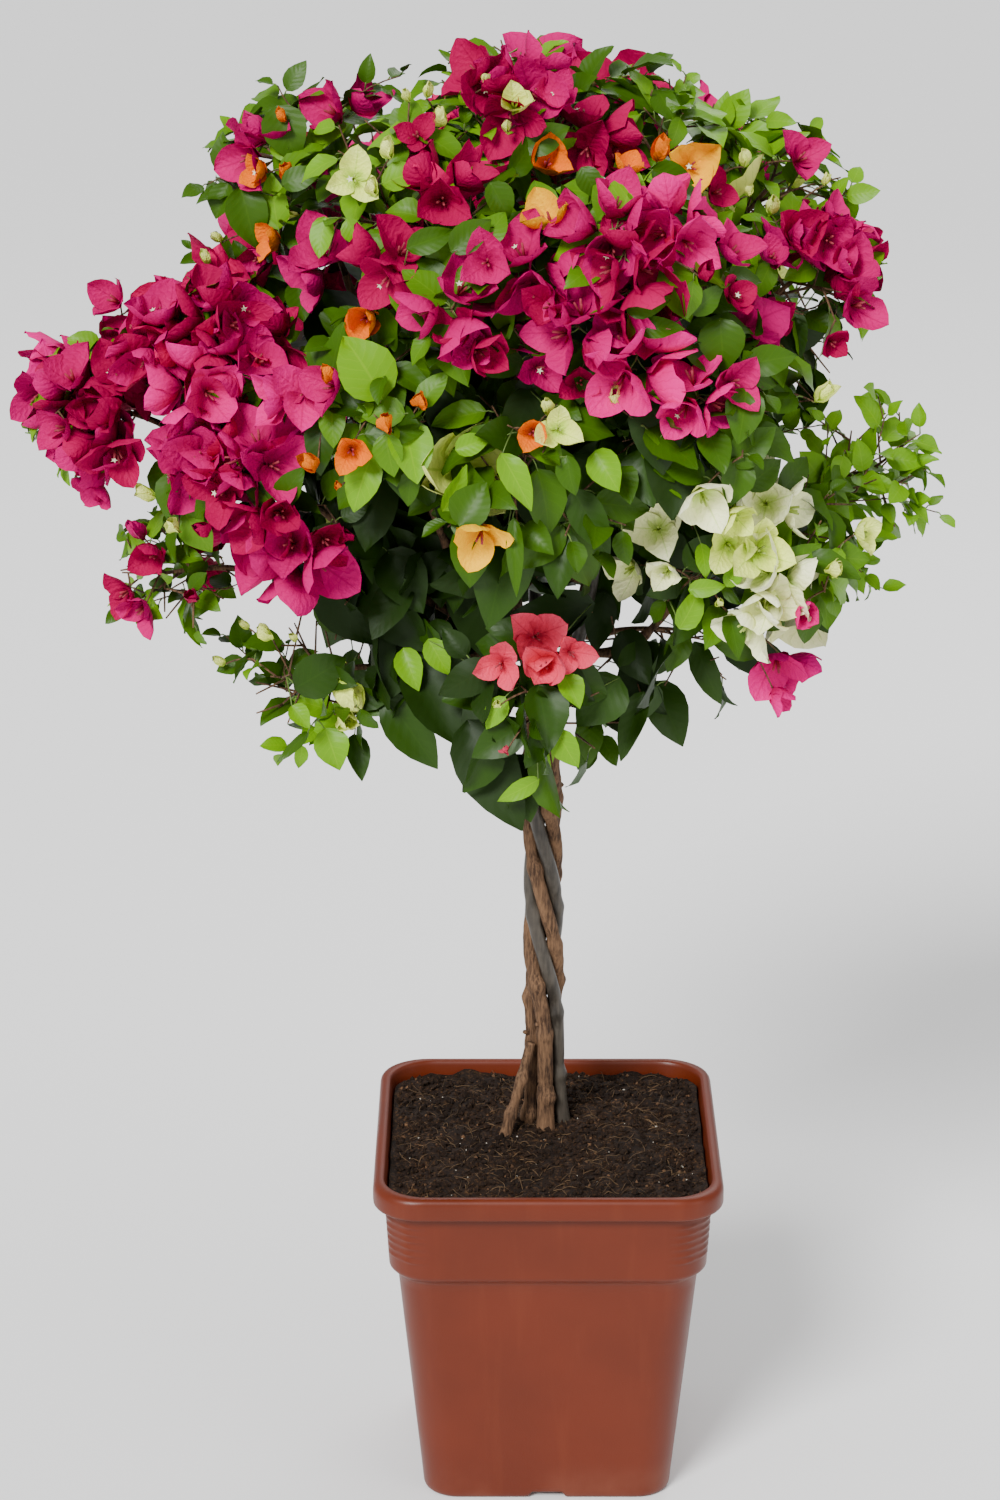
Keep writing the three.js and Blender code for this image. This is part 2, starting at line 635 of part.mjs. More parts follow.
function massGeometry(mass, feeder, guard, seed) {
  const draw = seededDraws(seed);
  const { stem, twigs } = growTwigs(mass, feeder, draw);
  const stemRadius = (share) => THREE.MathUtils.lerp(TWIG.stemRadius, TWIG.stemTipRadius, share);
  const core = solidFrom(limbGeometry(stem, stemRadius, TWIG.sides, TWIG.stemSteps));
  const kept = twigs.flatMap(({ line, flowers }) => {
    const fitted = fitTwig(mass, line, guard);
    return fitted ? [{ ...fitted, flowers }] : [];
  });
  const blades = [];
  for (const { twig, flowers, solid } of kept) {
    const otherTwigs = kept.map((k) => k.solid).filter((s) => s !== solid);
    const others = wasm.Manifold.union([core, ...otherTwigs, ...blades]);
    blades.push(...growOnTwig(mass, twig, flowers, draw, guard, others));
  }
  const parts = [core, ...kept.map((k) => k.solid), ...blades];
  return geometryFrom(largestBody(wasm.Manifold.union(parts)).simplify(WELD));
}

// ---------------------------------------------------------------- the plant in its pot
function addMesh(name, geometry, material, parent) {
  const mesh = new THREE.Mesh(geometry, material);
  mesh.name = name;
  parent.add(mesh);
  return mesh;
}

const plant = new THREE.Group();
addMesh("pot", potGeometry(), MATERIALS.potPlastic, plant);
addMesh("soil", soilGeometry(), MATERIALS.soil, plant);

const stemLimbs = STEMS.map(stemLimb);
const grown = STEMS.flatMap((stem, i) => [
  ...boughsOf(stem, stemLimbs[i]),
  { mass: massNamed(stem.leads), limb: stemLimbs[i] },
]);
const boughs = grown.map((g) => g.limb).filter((limb) => !stemLimbs.includes(limb));
const limbs = [...stemLimbs, cutStemLimb(), ...boughs];

const woody = new THREE.Group();
plant.add(woody);
for (const limb of limbs) {
  const geometry = limbGeometry(limb.curve, limb.radiusAt, limb.sides, limb.steps, limb.flatFoot);
  addMesh(limb.name, geometry, MATERIALS[limb.bark], woody);
}

const head = new THREE.Group();
plant.add(head);
const guard = limbGuard(limbs);
MASSES.forEach((mass, i) => {
  const feeder = grown.find((g) => g.mass === mass).limb;
  const geometry = massGeometry(mass, feeder, guard, FIRST_SEED + SEED_STEP * i);
  addMesh("mass_" + mass.name, geometry, MATERIALS[BEARS[mass.bears].colour], head);
});

export default plant;
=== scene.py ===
"""A bougainvillea grown as a standard, in its square plastic pot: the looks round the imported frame.

Metres, +Z up, front towards -Y, origin at the centre of the pot's underside. Five stems wound round each
other carry a head of masses. Each mass grows by one seeded rule: a stem of its own, twigs that open from it
by the golden angle, side twigs on those, and leaves and flowers at their nodes.
"""
import itertools
import math
from functools import partial
from types import SimpleNamespace as Sizes

import bpy
import numpy as np
from numpy.linalg import norm
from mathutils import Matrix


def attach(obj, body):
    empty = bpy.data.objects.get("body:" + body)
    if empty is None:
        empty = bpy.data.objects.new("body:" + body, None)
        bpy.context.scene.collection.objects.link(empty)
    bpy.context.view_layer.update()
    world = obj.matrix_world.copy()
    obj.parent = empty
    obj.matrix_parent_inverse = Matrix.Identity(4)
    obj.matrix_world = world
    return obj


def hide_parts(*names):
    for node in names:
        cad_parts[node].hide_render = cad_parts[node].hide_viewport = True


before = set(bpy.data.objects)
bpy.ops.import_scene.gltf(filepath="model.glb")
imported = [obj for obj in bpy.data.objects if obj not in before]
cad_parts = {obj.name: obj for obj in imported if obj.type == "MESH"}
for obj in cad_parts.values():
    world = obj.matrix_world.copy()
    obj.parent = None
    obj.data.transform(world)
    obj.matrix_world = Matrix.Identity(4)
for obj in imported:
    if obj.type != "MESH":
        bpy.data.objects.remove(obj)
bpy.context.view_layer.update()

# ---------------------------------------------------------------- driving dimensions
GOLDEN_ANGLE = math.radians(137.5)
TURN = 2 * math.pi
UP = np.array([0.0, 0.0, 1.0])
HEAD_MIDDLE = np.array([-0.005, -0.005, 0.715])
HEAD_RADIUS = 0.21

CAMERA = Sizes(place=(-0.0303, -2.224, 1.266), pitch=19.36, focal=3780, width=1000, height=1500, sensor=36)

POT = Sizes(height=0.227, rim_half=0.110, rim_top_width=0.007, lip_height=0.0145, band_top_half=0.103,
            band_foot_half=0.1005, band_foot_z=0.169, body_top_half=0.095, body_top_z=0.161,
            foot_half=0.0798, foot_edge=0.003, wall=0.0022, floor=0.003, corner_share=0.27, band_rings=44,
            body_rings=26)
NOTCH = Sizes(half_width=0.0135, height=0.0048, slope=0.004, starts_at=0.0655, full_at=0.0675,
              foot_from_z=0.0028, foot_to_z=0.0076, step=0.0001)
# The ribs lie between two shares of the half width, and fade in and out there.
RIBS = Sizes(low_z=0.178, high_z=0.208, pitch=0.005, relief=0.0009, near=0.79, full=0.81, far=0.91, gone=0.98)
SOIL = Sizes(plateau_z=0.2217, edge_z=0.219, plateau_half=0.038, half=0.1003, roughness=0.0022, rings=84,
             sides=40, corners=12)
# The ball of peat under the surface: the share of its half width, and the height.
BALL = [(1, 0.212), (0.97, 0.171), (0.915, 0.160), (0.82, 0.06), (0.755, 0.0035)]
# Its lumps, large and small, its crumbs and its grains: their height, the size of their cells, their seed.
RELIEF = [(0.0016, 0.013, 3), (0.0011, 0.006, 4), (0.0008, 0.0032, 5), (0.0005, 0.0017, 6)]
STREWN = Sizes(half=0.0975, corner_from=0.076, corner_radius=0.021, drawn_in=0.85)

TRUNK = Sizes(axis_foot=(-0.0005, 0.022), axis_top=(-0.0045, 0.002), foot_z=0.222, braid_top_z=0.510,
              braid_radius=0.0082, foot_spread=0.0038, foot_fade=0.026, twist_start_z=0.282, twist_ease=0.040,
              pitch=0.200, radius=0.0044, top_radius=0.0035, flare=0.38, flare_fade=0.011, leader_taper=0.9,
              steps=23, girth_fade=2.4, leader_from=0.66, bark=0.09, bark_rise=0.06, bark_from=0.6,
              bark_until=0.7, sunk=0.006)
# From the fork to its mass a stem bends outwards: how far apart its points are, and how far out they go.
FORK = Sizes(step=0.015, halfway=0.45, outward=0.012, first_outward=0.003)
# Each stem: the angle of its foot in degrees, its girth, its bark, and the mass that it leads.
STEMS = {
    "stem_front": (-90, 1.16, "brown", "front_left_high"),
    "stem_right": (-18, 0.94, "grey", "front_right_high"),
    "stem_back_right": (54, 1.0, "brown", "top_right"),
    "stem_back_left": (126, 0.94, "grey", "back_top"),
    "stem_left": (198, 1.0, "brown", "top_left"),
}
CUT_STEM = Sizes(foot=(-0.0285, -0.003), top=(-0.0105, 0.0065), top_z=0.283, radius=0.0034, top_radius=0.0030,
                 bend=(0.0015, -0.001, 0.004), knots=[(0.02, 1.0), (0.045, 4.0)])
SPUR = Sizes(opening=62, length=(0.006, 0.009), radii=[0.0019, 0.0015, 0.0012])
# Each bark: its two colours, roughness, fineness of fibre and relief, and its furrows and knots.
BARKS = {
    "brown": Sizes(material=((0.160, 0.086, 0.043), (0.030, 0.014, 0.007), 0.85, 700.0, 0.0009),
                   knot_spacing=0.043, furrow=0.055),
    "grey": Sizes(material=((0.064, 0.054, 0.042), (0.022, 0.018, 0.014), 0.38, 260.0, 0.0002),
                  knot_spacing=0.075, furrow=0.016),
}
RING_SCARS = (0.0345, 0.0375)  # on the front stem, above its foot
# How far a knot or a ring scar swells a stem, as shares of its radius, and how wide it is.
KNOT = Sizes(width=0.0042, all_round=0.16, one_side=0.30, waist=0.10, waist_above=0.009, waist_width=0.004)
SCAR = Sizes(width=0.0008, height=0.13)
BOUGH = Sizes(radius=0.0028, tip_radius=0.0022, bark=1.12, first_height=0.1, last_height=0.78, bow=0.4,
              farthest=0.6)

# Each mass: its middle, its reach, what it bears, the stem that feeds it, and its leaves: their length, how
# bright they are (0 deep, 1 bright), which paints shade under and inside the head and light on its top and
# outer side, and how far they hang.
MASSES = {
    "top_centre": ((-0.025, -0.038, 0.876), 0.066, "magenta", "stem_front", (0.034, 0.62, 0.2)),
    "top_left": ((-0.142, 0.000, 0.834), 0.073, "mixed", "stem_left", (0.036, 0.50, 0.2)),
    "top_left_front": ((-0.084, -0.072, 0.842), 0.070, "green", "stem_front", (0.036, 0.54, 0.2)),
    "top_right": ((0.061, -0.010, 0.850), 0.067, "mixed", "stem_back_right", (0.038, 0.66, 0.2)),
    "right_top": ((0.121, 0.010, 0.822), 0.068, "green", "stem_back_right", (0.035, 0.72, 0.2)),
    "right_magenta": ((0.143, -0.038, 0.788), 0.056, "magenta", "stem_back_right", (0.034, 0.60, 0.3)),
    "front_left_high": ((-0.046, -0.118, 0.806), 0.074, "magenta", "stem_front", (0.038, 0.46, 0.3)),
    "front_right_high": ((0.040, -0.122, 0.806), 0.076, "magenta", "stem_right", (0.038, 0.48, 0.3)),
    "front_right": ((0.084, -0.124, 0.735), 0.070, "magenta", "stem_right", (0.042, 0.50, 0.3)),
    "front_left": ((-0.098, -0.112, 0.732), 0.070, "mixed", "stem_front", (0.044, 0.52, 0.3)),
    "front_centre_low": ((-0.014, -0.132, 0.690), 0.074, "green", "stem_right", (0.044, 0.56, 0.4)),
    "left_upper": ((-0.194, -0.056, 0.744), 0.068, "magenta", "stem_left", (0.036, 0.50, 0.3)),
    "left_tip": ((-0.260, -0.050, 0.714), 0.053, "magenta", "stem_left", (0.034, 0.52, 0.3)),
    "left_lower": ((-0.168, -0.078, 0.678), 0.069, "magenta", "stem_front", (0.038, 0.45, 0.3)),
    "left_small": ((-0.221, -0.044, 0.613), 0.048, "magenta", "stem_left", (0.028, 0.60, 0.3)),
    "low_left_spray": ((-0.140, -0.046, 0.548), 0.054, "green", "stem_left", (0.040, 0.56, 0.4)),
    "low_left_dark": ((-0.084, -0.022, 0.594), 0.076, "dark", "stem_left", (0.060, 0.26, 1.0)),
    "low_front": ((-0.016, -0.062, 0.542), 0.086, "coral", "stem_front", (0.054, 0.32, 1.0)),
    "low_right_dark": ((0.062, -0.014, 0.567), 0.070, "dark", "stem_back_right", (0.052, 0.28, 0.9)),
    "right_white": ((0.116, -0.082, 0.636), 0.076, "white", "stem_right", (0.040, 0.56, 0.4)),
    "right_arching": ((0.182, -0.014, 0.664), 0.058, "green", "stem_back_right", (0.032, 0.86, 0.2)),
    "right_middle": ((0.118, 0.048, 0.722), 0.074, "green", "stem_back_right", (0.042, 0.44, 0.4)),
    "back_top": ((0.006, 0.084, 0.836), 0.078, "magenta", "stem_back_left", (0.040, 0.55, 0.3)),
    "back_left": ((-0.118, 0.096, 0.764), 0.086, "magenta", "stem_left", (0.040, 0.50, 0.3)),
    "back_right": ((0.104, 0.126, 0.786), 0.080, "mixed", "stem_back_left", (0.040, 0.55, 0.3)),
    "back_centre": ((-0.008, 0.154, 0.744), 0.079, "magenta", "stem_back_left", (0.042, 0.50, 0.4)),
    "back_low_left": ((-0.082, 0.094, 0.640), 0.084, "green", "stem_back_left", (0.050, 0.30, 0.6)),
    "back_low_right": ((0.066, 0.104, 0.640), 0.084, "white", "stem_back_left", (0.046, 0.36, 0.6)),
}
# What each kind bears: its main twigs, the share of them that flower in the solids, the share of its shoots
# that flower in front and behind, and how often each colour comes on those.
BEARS = {
    "magenta": Sizes(twigs=6, blossom=1.0, front=0.07, behind=0.7,
                     hues=dict(magenta=4, crimson=4, rose=2, pink=1)),
    "mixed": Sizes(twigs=5, blossom=0.5, front=0.0, behind=0.35, hues=dict(magenta=4, cream=2, orange=1)),
    "white": Sizes(twigs=5, blossom=0.6, front=0.05, behind=0.45, hues=dict(white=6, cream=2)),
    "coral": Sizes(twigs=5, blossom=0.3, front=0.0, behind=0.1, hues=dict(coral=1)),
    "green": Sizes(twigs=5, blossom=0.0, front=0.03, behind=0.10, hues=dict(cream=1)),
    "dark": Sizes(twigs=5, blossom=0.0, front=0.0, behind=0.05, hues=dict(cream=1)),
}
# Masses that flower more or less than their kind: the share of their shoots, and the size of the flowers.
FLOWERING = {"left_upper": (0.40, 0.034), "left_tip": (0.42, 0.030), "left_lower": (0.40, 0.034),
             "left_small": (0.14, 0.024), "right_magenta": (0.18, 0.028)}
TWIG = Sizes(stem_radius=0.0028, stem_steps=2, entry=0.72, onward=0.3, bend=0.3, first=0.3, wide=112,
             narrow=24, stray=16, clear=0.0003, main_radius=0.0011, side_radius=0.0008, tip_radius=0.0005)
LIGHT = Sizes(surround=0.62, lamps=[
    ("sun", "SUN", (-1.6, -3.0, 3.4), 4.7, 20),
    ("fill", "AREA", (2.2, -1.8, 1.4), 22, 1.8),
    ("rim", "AREA", (0.6, 2.0, 2.4), 30, 1.6),
])
FIRST_SEED = 163
SEED_STEP = 17
BLOSSOM_ROOM = 0.036
WHORL_ROOM = 0.046
CURVE_POINTS = 24
TWIG_POINTS = 7


# ---------------------------------------------------------------- vectors, draws and paths
def unit(v):
    """A vector, or each row of an array, over its own length."""
    v = np.asarray(v, float)
    return v / np.maximum(norm(v, axis=-1, keepdims=True), 1e-12)


def seeded_draws(seed):
    """Draws from 0 to 1: each state is the last times 1664525 plus 1013904223, modulo 2 to the 32nd, and a
    draw is the state over that modulus, after four states are let go."""
    state = seed
    for count in itertools.count():
        state = (state * 1664525 + 1013904223) % 2**32
        if count >= 4:
            yield state / 2**32


def lerp(a, b, t):
    """The first value, plus the way to the second times a share."""
    return a + (b - a) * t


def direction_around(axis, opening, turn):
    """A unit direction at the angle opening from an axis, turned round it: the axis times the cosine of the
    opening, plus its sine times a point on the circle square to the axis."""
    helper = np.array([0.0, 0.0, 1.0]) if abs(axis[2]) < 0.9 else np.array([1.0, 0.0, 0.0])
    side = unit(np.cross(axis, helper))
    other = np.cross(axis, side)
    ring = side * math.cos(turn) + other * math.sin(turn)
    return axis * math.cos(opening) + ring * math.sin(opening)


def bezier(p0, p1, p2):
    """A quadratic curve: the first point times (1 - t) squared, the second times 2 t (1 - t), and the last
    times t squared."""
    t = np.linspace(0, 1, CURVE_POINTS)[:, None]
    return (1 - t) ** 2 * p0 + 2 * t * (1 - t) * p1 + t**2 * p2


def smooth_path(points, per_span=14):
    """A centripetal Catmull-Rom curve: each span is a cubic whose end slopes come from the neighbouring
    points, with the square root of each distance as its step."""
    p = np.vstack([2 * points[0] - points[1], points, 2 * points[-1] - points[-2]])
    step = np.sqrt(norm(np.diff(p, axis=0), axis=1))[:, None]
    a, b, c, d = p[:-3], p[1:-2], p[2:-1], p[3:]
    s0, s1, s2 = step[:-2], step[1:-1], step[2:]
    slope_b = ((b - a) / s0 - (c - a) / (s0 + s1) + (c - b) / s1) * s1
    slope_c = ((c - b) / s1 - (d - b) / (s1 + s2) + (d - c) / s2) * s1
    t = np.linspace(0, 1, per_span, endpoint=False)[None, :, None]
    b, c, slope_b, slope_c = (x[:, None, :] for x in (b, c, slope_b, slope_c))
    cubic = (2 * b - 2 * c + slope_b + slope_c) * t**3
    square = (-3 * b + 3 * c - 2 * slope_b - slope_c) * t**2
    curve = (cubic + square + slope_b * t + b).reshape(-1, 3)
    return np.vstack([curve, points[-1]])


def lengths_along(path):
    """The length from a path's start to each of its points."""
    return np.concatenate([[0], np.cumsum(norm(np.diff(path, axis=0), axis=1))])


def along(path, share):
    """The points of a path at shares of its length."""
    s = lengths_along(path)
    return np.stack([np.interp(np.asarray(share) * s[-1], s, path[:, k]) for k in range(3)], axis=-1)


def tangent_at(path, share):
    """The unit direction of a path at a share of its length, from two points close on either side."""
    near = along(path, np.clip([share - 0.01, share + 0.01], 0, 1))
    return unit(near[1] - near[0])


def chord_point(path, steps, share):
    """A point on the straight lengths that join a path's points at even shares."""
    i = min(int(share * steps), steps - 1)
    ends = along(path, [i / steps, (i + 1) / steps])
    return lerp(ends[0], ends[1], share * steps - i)


# ---------------------------------------------------------------- meshes from arrays
def grid_faces(rows, cols, closed=False):
    """The quads of a grid of points: a point, the next one across, and the two after them onward."""
    i, j = np.meshgrid(np.arange(rows - 1), np.arange(cols if closed else cols - 1), indexing="ij")
    here, across = i * cols + j, i * cols + (j + 1) % cols
    return np.stack([here, across, across + cols, here + cols], axis=-1).reshape(-1, 4)


def fan(middle, count, start=0, turned=False):
    """Triangles from a middle point to each side of a ring of points, the other way round if turned."""
    here = np.arange(count)
    sides = [start + here, start + (here + 1) % count]
    return np.stack([np.full(count, middle), *(sides[::-1] if turned else sides)], axis=1)


def ring_at(plan, height):
    """The points of a plan, at one height or at a height each."""
    return np.column_stack([plan, np.broadcast_to(height, len(plan))])


def repeated(faces, copies, points):
    """The same faces for each copy of a run of points."""
    return (faces[None] + (np.arange(copies) * points)[:, None, None]).reshape(-1, faces.shape[1])


def piece(name, points, faces, material, nodes=(), uv=None, smooth=True):
    """One mesh from an array of points and arrays of faces, which rides on the plant."""
    mesh = bpy.data.meshes.new(name)
    groups = faces if isinstance(faces, list) else [faces]
    corners = np.concatenate([f.ravel() for f in groups])
    sizes = np.concatenate([np.full(len(f), f.shape[1]) for f in groups])
    starts = np.concatenate([[0], np.cumsum(sizes)[:-1]])
    mesh.vertices.add(len(points))
    mesh.vertices.foreach_set("co", np.ascontiguousarray(points, np.float32).ravel())
    mesh.loops.add(len(corners))
    mesh.loops.foreach_set("vertex_index", corners.astype(np.int32))
    mesh.polygons.add(len(sizes))
    mesh.polygons.foreach_set("loop_start", starts.astype(np.int32))
    mesh.polygons.foreach_set("use_smooth", np.full(len(sizes), smooth))
    if uv is not None:
        layer = mesh.uv_layers.new(name="OFBake")
        layer.data.foreach_set("uv", np.ascontiguousarray(uv[corners], np.float32).ravel())
    mesh.update(calc_edges=True)
    mesh.validate()
    mesh.materials.append(material)
    thing = bpy.data.objects.new(name, mesh)
    bpy.context.scene.collection.objects.link(thing)
    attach(thing, "root")
    if nodes:
        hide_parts(*nodes)
    return thing


def tubes(paths, radii, sides, ref=None):
    """Closed tubes round paths: each ring is its path's point plus the radius times the cosine and sine round
    two directions square to the path, and each end is drawn in to a small cap."""
    paths = np.asarray(paths, float)
    copies, steps, _ = paths.shape
    ahead = unit(np.gradient(paths, axis=1))
    if ref is None:
        whole = unit(paths[:, -1] - paths[:, 0])
        helper = np.where(np.abs(whole[:, 2:3]) < 0.8, [[0.0, 0.0, 1.0]], [[1.0, 0.0, 0.0]])
        ref = unit(np.cross(whole, helper))
    ref = np.broadcast_to(np.asarray(ref, float)[:, None, :], paths.shape)
    first = unit(ref - (ref * ahead).sum(-1, keepdims=True) * ahead)
    second = np.cross(ahead, first)
    turn = TURN * np.arange(sides) / sides
    radii = np.broadcast_to(np.asarray(radii, float), (copies, steps) if np.ndim(radii) < 3 else radii.shape)
    radii = radii[..., None] if radii.ndim == 2 else radii
    ring = first[:, :, None] * np.cos(turn)[:, None] + second[:, :, None] * np.sin(turn)[:, None]
    points = paths[:, :, None] + ring * radii[..., None]
    ends = [0, steps - 1]
    points = np.concatenate([points.reshape(copies, -1, 3), paths[:, ends]], axis=1)
    body = grid_faces(steps, sides, closed=True)
    last = (steps - 1) * sides
    caps = np.concatenate([fan(last + sides, sides, 0, turned=True), fan(last + sides + 1, sides, last)])
    count = steps * sides + 2
    return points.reshape(-1, 3), [repeated(body, copies, count), repeated(caps, copies, count)]


def joined(parts):
    """Several (points, faces) as one."""
    points, quads, triangles, start = [], [], [], 0
    for part_points, (part_quads, part_triangles) in parts:
        points.append(part_points)
        quads.append(part_quads + start)
        triangles.append(part_triangles + start)
        start += len(part_points)
    return np.concatenate(points), [np.concatenate(quads), np.concatenate(triangles)]


def smooth_noise(p, scale, seed):
    """Soft noise from -1 to 1: draws on a lattice of even cells, blended by their smoothed distances."""
    size = 32
    lattice = np.random.default_rng(seed).uniform(-1, 1, (size, size, size))
    q = np.asarray(p, float) / scale
    cell = np.floor(q).astype(int)
    part = q - cell
    part = part * part * (3 - 2 * part)
    total = 0
    for corner in itertools.product((0, 1), repeat=3):
        weight = np.prod([part[..., k] if c else 1 - part[..., k] for k, c in enumerate(corner)], axis=0)
        at = [(cell[..., k] + c) % size for k, c in enumerate(corner)]
        total = total + weight * lattice[at[0], at[1], at[2]]
    return total


def smoothstep(x, low, high):
    """From 0 to 1 between two values: three times the square of the share of the way, less twice its cube."""
    t = np.clip((x - low) / (high - low), 0, 1)
    return t * t * (3 - 2 * t)


# ---------------------------------------------------------------- materials
def shader(name, colour, roughness, **sockets):
    """A material with one Principled shader, and what is needed to add to it."""
    material = bpy.data.materials.new(name)
    material.use_nodes = True
    tree = material.node_tree
    principled = tree.nodes["Principled BSDF"]
    principled.inputs["Base Color"].default_value = (*colour, 1)
    principled.inputs["Roughness"].default_value = roughness
    for socket, value in sockets.items():
        principled.inputs[socket.replace("_", " ")].default_value = value
    return material, tree, principled


def node(tree, kind, inputs, **settings):
    """A node of a kind, with its settings, and with its inputs by number or name: sockets or plain values."""
    made = tree.nodes.new(kind)
    for key, value in settings.items():
        setattr(made, key, value)
    for key, value in inputs.items():
        if isinstance(value, bpy.types.NodeSocket):
            tree.links.new(value, made.inputs[key])
        else:
            made.inputs[key].default_value = value
    return made


def math_node(tree, operation, a, b=0.0):
    """One or two numbers put through a sum."""
    return node(tree, "ShaderNodeMath", {0: a, 1: b}, operation=operation).outputs[0]


def ramp(tree, value, low, high, to_low=0.0, to_high=1.0):
    """A smooth change from one number to another as a value goes from low to high."""
    inputs = {0: value, 1: low, 2: high, 3: to_low, 4: to_high}
    return node(tree, "ShaderNodeMapRange", inputs, interpolation_type="SMOOTHSTEP").outputs[0]


def mixed(tree, amount, first, second):
    """Two colours mixed; each is a socket or a plain colour."""
    first, second = (c if isinstance(c, bpy.types.NodeSocket) else (*c, 1) for c in (first, second))
    return node(tree, "ShaderNodeMix", {0: amount, 6: first, 7: second}, data_type="RGBA").outputs[2]


def shade_of(colour, share):
    """A colour times a share, and no brighter than white."""
    return tuple(min(1, share * c) for c in colour)


def own_spot(tree):
    """Where a point lies on its own piece, in metres."""
    return node(tree, "ShaderNodeTexCoord", {}).outputs["Object"]


def noise(tree, spot, scale, detail, roughness=0.5):
    """Soft noise from 0 to 1, with about as many cells to a metre as its scale."""
    inputs = {"Vector": spot, "Scale": scale, "Detail": detail, "Roughness": roughness}
    return node(tree, "ShaderNodeTexNoise", inputs).outputs[0]


def drawn_out(tree, spot, scales):
    """A place with each of its parts times a scale of its own, so that noise on it runs out along one way."""
    return node(tree, "ShaderNodeMapping", {"Vector": spot, "Scale": scales}).outputs[0]


def coloured(tree, principled, colour):
    """The base colour from a socket."""
    tree.links.new(colour, principled.inputs["Base Color"])


def bump(tree, principled, height, distance, strength):
    """A relief whose height goes from a value of 0 to 1 over a distance in metres."""
    made = node(tree, "ShaderNodeBump", {"Height": height, "Distance": distance, "Strength": strength})
    tree.links.new(made.outputs[0], principled.inputs["Normal"])


def vein_group():
    """The veins of a blade, from its own map: a midrib down the middle, and side veins that leave it at a
    slant. A side vein lies where count times the share along, less slant times the share across, is whole."""
    tree = bpy.data.node_groups.new("blade_veins", "ShaderNodeTree")
    for label in ("Count", "Slant", "Width", "Waver"):
        tree.interface.new_socket(label, in_out="INPUT", socket_type="NodeSocketFloat")
    for label in ("Veins", "Relief", "Along"):
        tree.interface.new_socket(label, in_out="OUTPUT", socket_type="NodeSocketFloat")
    given = tree.nodes.new("NodeGroupInput")
    out = tree.nodes.new("NodeGroupOutput")
    spot = node(tree, "ShaderNodeUVMap", {}, uv_map="OFBake").outputs[0]
    parts = node(tree, "ShaderNodeSeparateXYZ", {0: spot})
    along_blade = parts.outputs[1]
    across = math_node(tree, "ABSOLUTE", math_node(tree, "SUBTRACT", parts.outputs[0], 0.5))
    waves = noise(tree, spot, 9.0, 2.0)
    waver = math_node(tree, "MULTIPLY", math_node(tree, "SUBTRACT", waves, 0.5), given.outputs["Waver"])
    rise = math_node(tree, "MULTIPLY", along_blade, given.outputs["Count"])
    back = math_node(tree, "MULTIPLY", across, given.outputs["Slant"])
    phase = math_node(tree, "ADD", math_node(tree, "SUBTRACT", rise, back), waver)
    saw = math_node(tree, "PINGPONG", phase, 0.5)
    side = ramp(tree, saw, 0.0, given.outputs["Width"], 1.0, 0.0)
    middle = ramp(tree, across, 0.008, 0.034, 1.0, 0.0)
    veins = math_node(tree, "MAXIMUM", math_node(tree, "MULTIPLY", side, 0.6), middle)
    swell = math_node(tree, "MULTIPLY", saw, 1.6)
    for label, socket in (("Veins", veins), ("Relief", swell), ("Along", along_blade)):
        tree.links.new(socket, out.inputs[label])
    return tree


VEINS = vein_group()


def veins_in(tree, **values):
    """The vein group placed in a material, with that material's own values."""
    made = tree.nodes.new("ShaderNodeGroup")
    made.node_tree = VEINS
    for key, value in values.items():
        made.inputs[key].default_value = value
    return made.outputs


def leaf_material(name, colour, rib, roughness):
    """A leaf: its tone, a paler midrib and side veins, darker towards its foot, swollen between the veins."""
    material, tree, principled = shader(name, colour, roughness, Specular_IOR_Level=0.2)
    veins = veins_in(tree, Count=7.0, Slant=3.4, Width=0.1, Waver=0.35)
    foot = ramp(tree, veins["Along"], 0.0, 0.5, 0.25, 0.0)
    base = mixed(tree, foot, colour, shade_of(colour, 0.45))
    faint = math_node(tree, "MULTIPLY", veins["Veins"], 0.2)
    coloured(tree, principled, mixed(tree, faint, base, rib))
    bump(tree, principled, veins["Relief"], 0.0002, 0.4)
    return material


def bract_material(name, colour, vein, tip, strength):
    """A papery bract: its hue, painted shade that darkens it towards its foot in the middle of the flower,
    another shade towards its tip, a net of darker veins, and a fine crinkle."""
    material, tree, principled = shader(name, colour, 0.55, Specular_IOR_Level=0.04)
    veins = veins_in(tree, Count=6.0, Slant=4.2, Width=0.13, Waver=1.3)
    ends = ramp(tree, veins["Along"], 0.25, 1.0, 0.0, 0.65)
    # painted shade: towards its foot the bract is mixed into its dark vein colour, the shade in the flower's
    # middle
    foot = ramp(tree, veins["Along"], 0.0, 0.42, 0.75, 0.0)
    base = mixed(tree, foot, mixed(tree, ends, colour, tip), vein)
    dark = math_node(tree, "MULTIPLY", veins["Veins"], strength)
    coloured(tree, principled, mixed(tree, dark, base, vein))
    bump(tree, principled, veins["Relief"], 0.0005, 0.7)
    return material


def bark_material(name, light, dark, roughness, fibre, distance):
    """Bark: long fibres, as noise drawn out along the height, over cracks and paler flakes."""
    material, tree, principled = shader(name, light, roughness, Specular_IOR_Level=0.3)
    spot = own_spot(tree)
    fibres = noise(tree, drawn_out(tree, spot, (fibre, fibre, fibre * 0.13)), 1.0, 6.0, 0.65)
    worn = math_node(tree, "MULTIPLY", ramp(tree, noise(tree, spot, 60.0, 3.0), 0.4, 0.7), 0.45)
    base = mixed(tree, ramp(tree, fibres, 0.36, 0.66), dark, light)
    coloured(tree, principled, mixed(tree, worn, base, shade_of(light, 1.35)))
    bump(tree, principled, fibres, distance, 0.9)
    return material


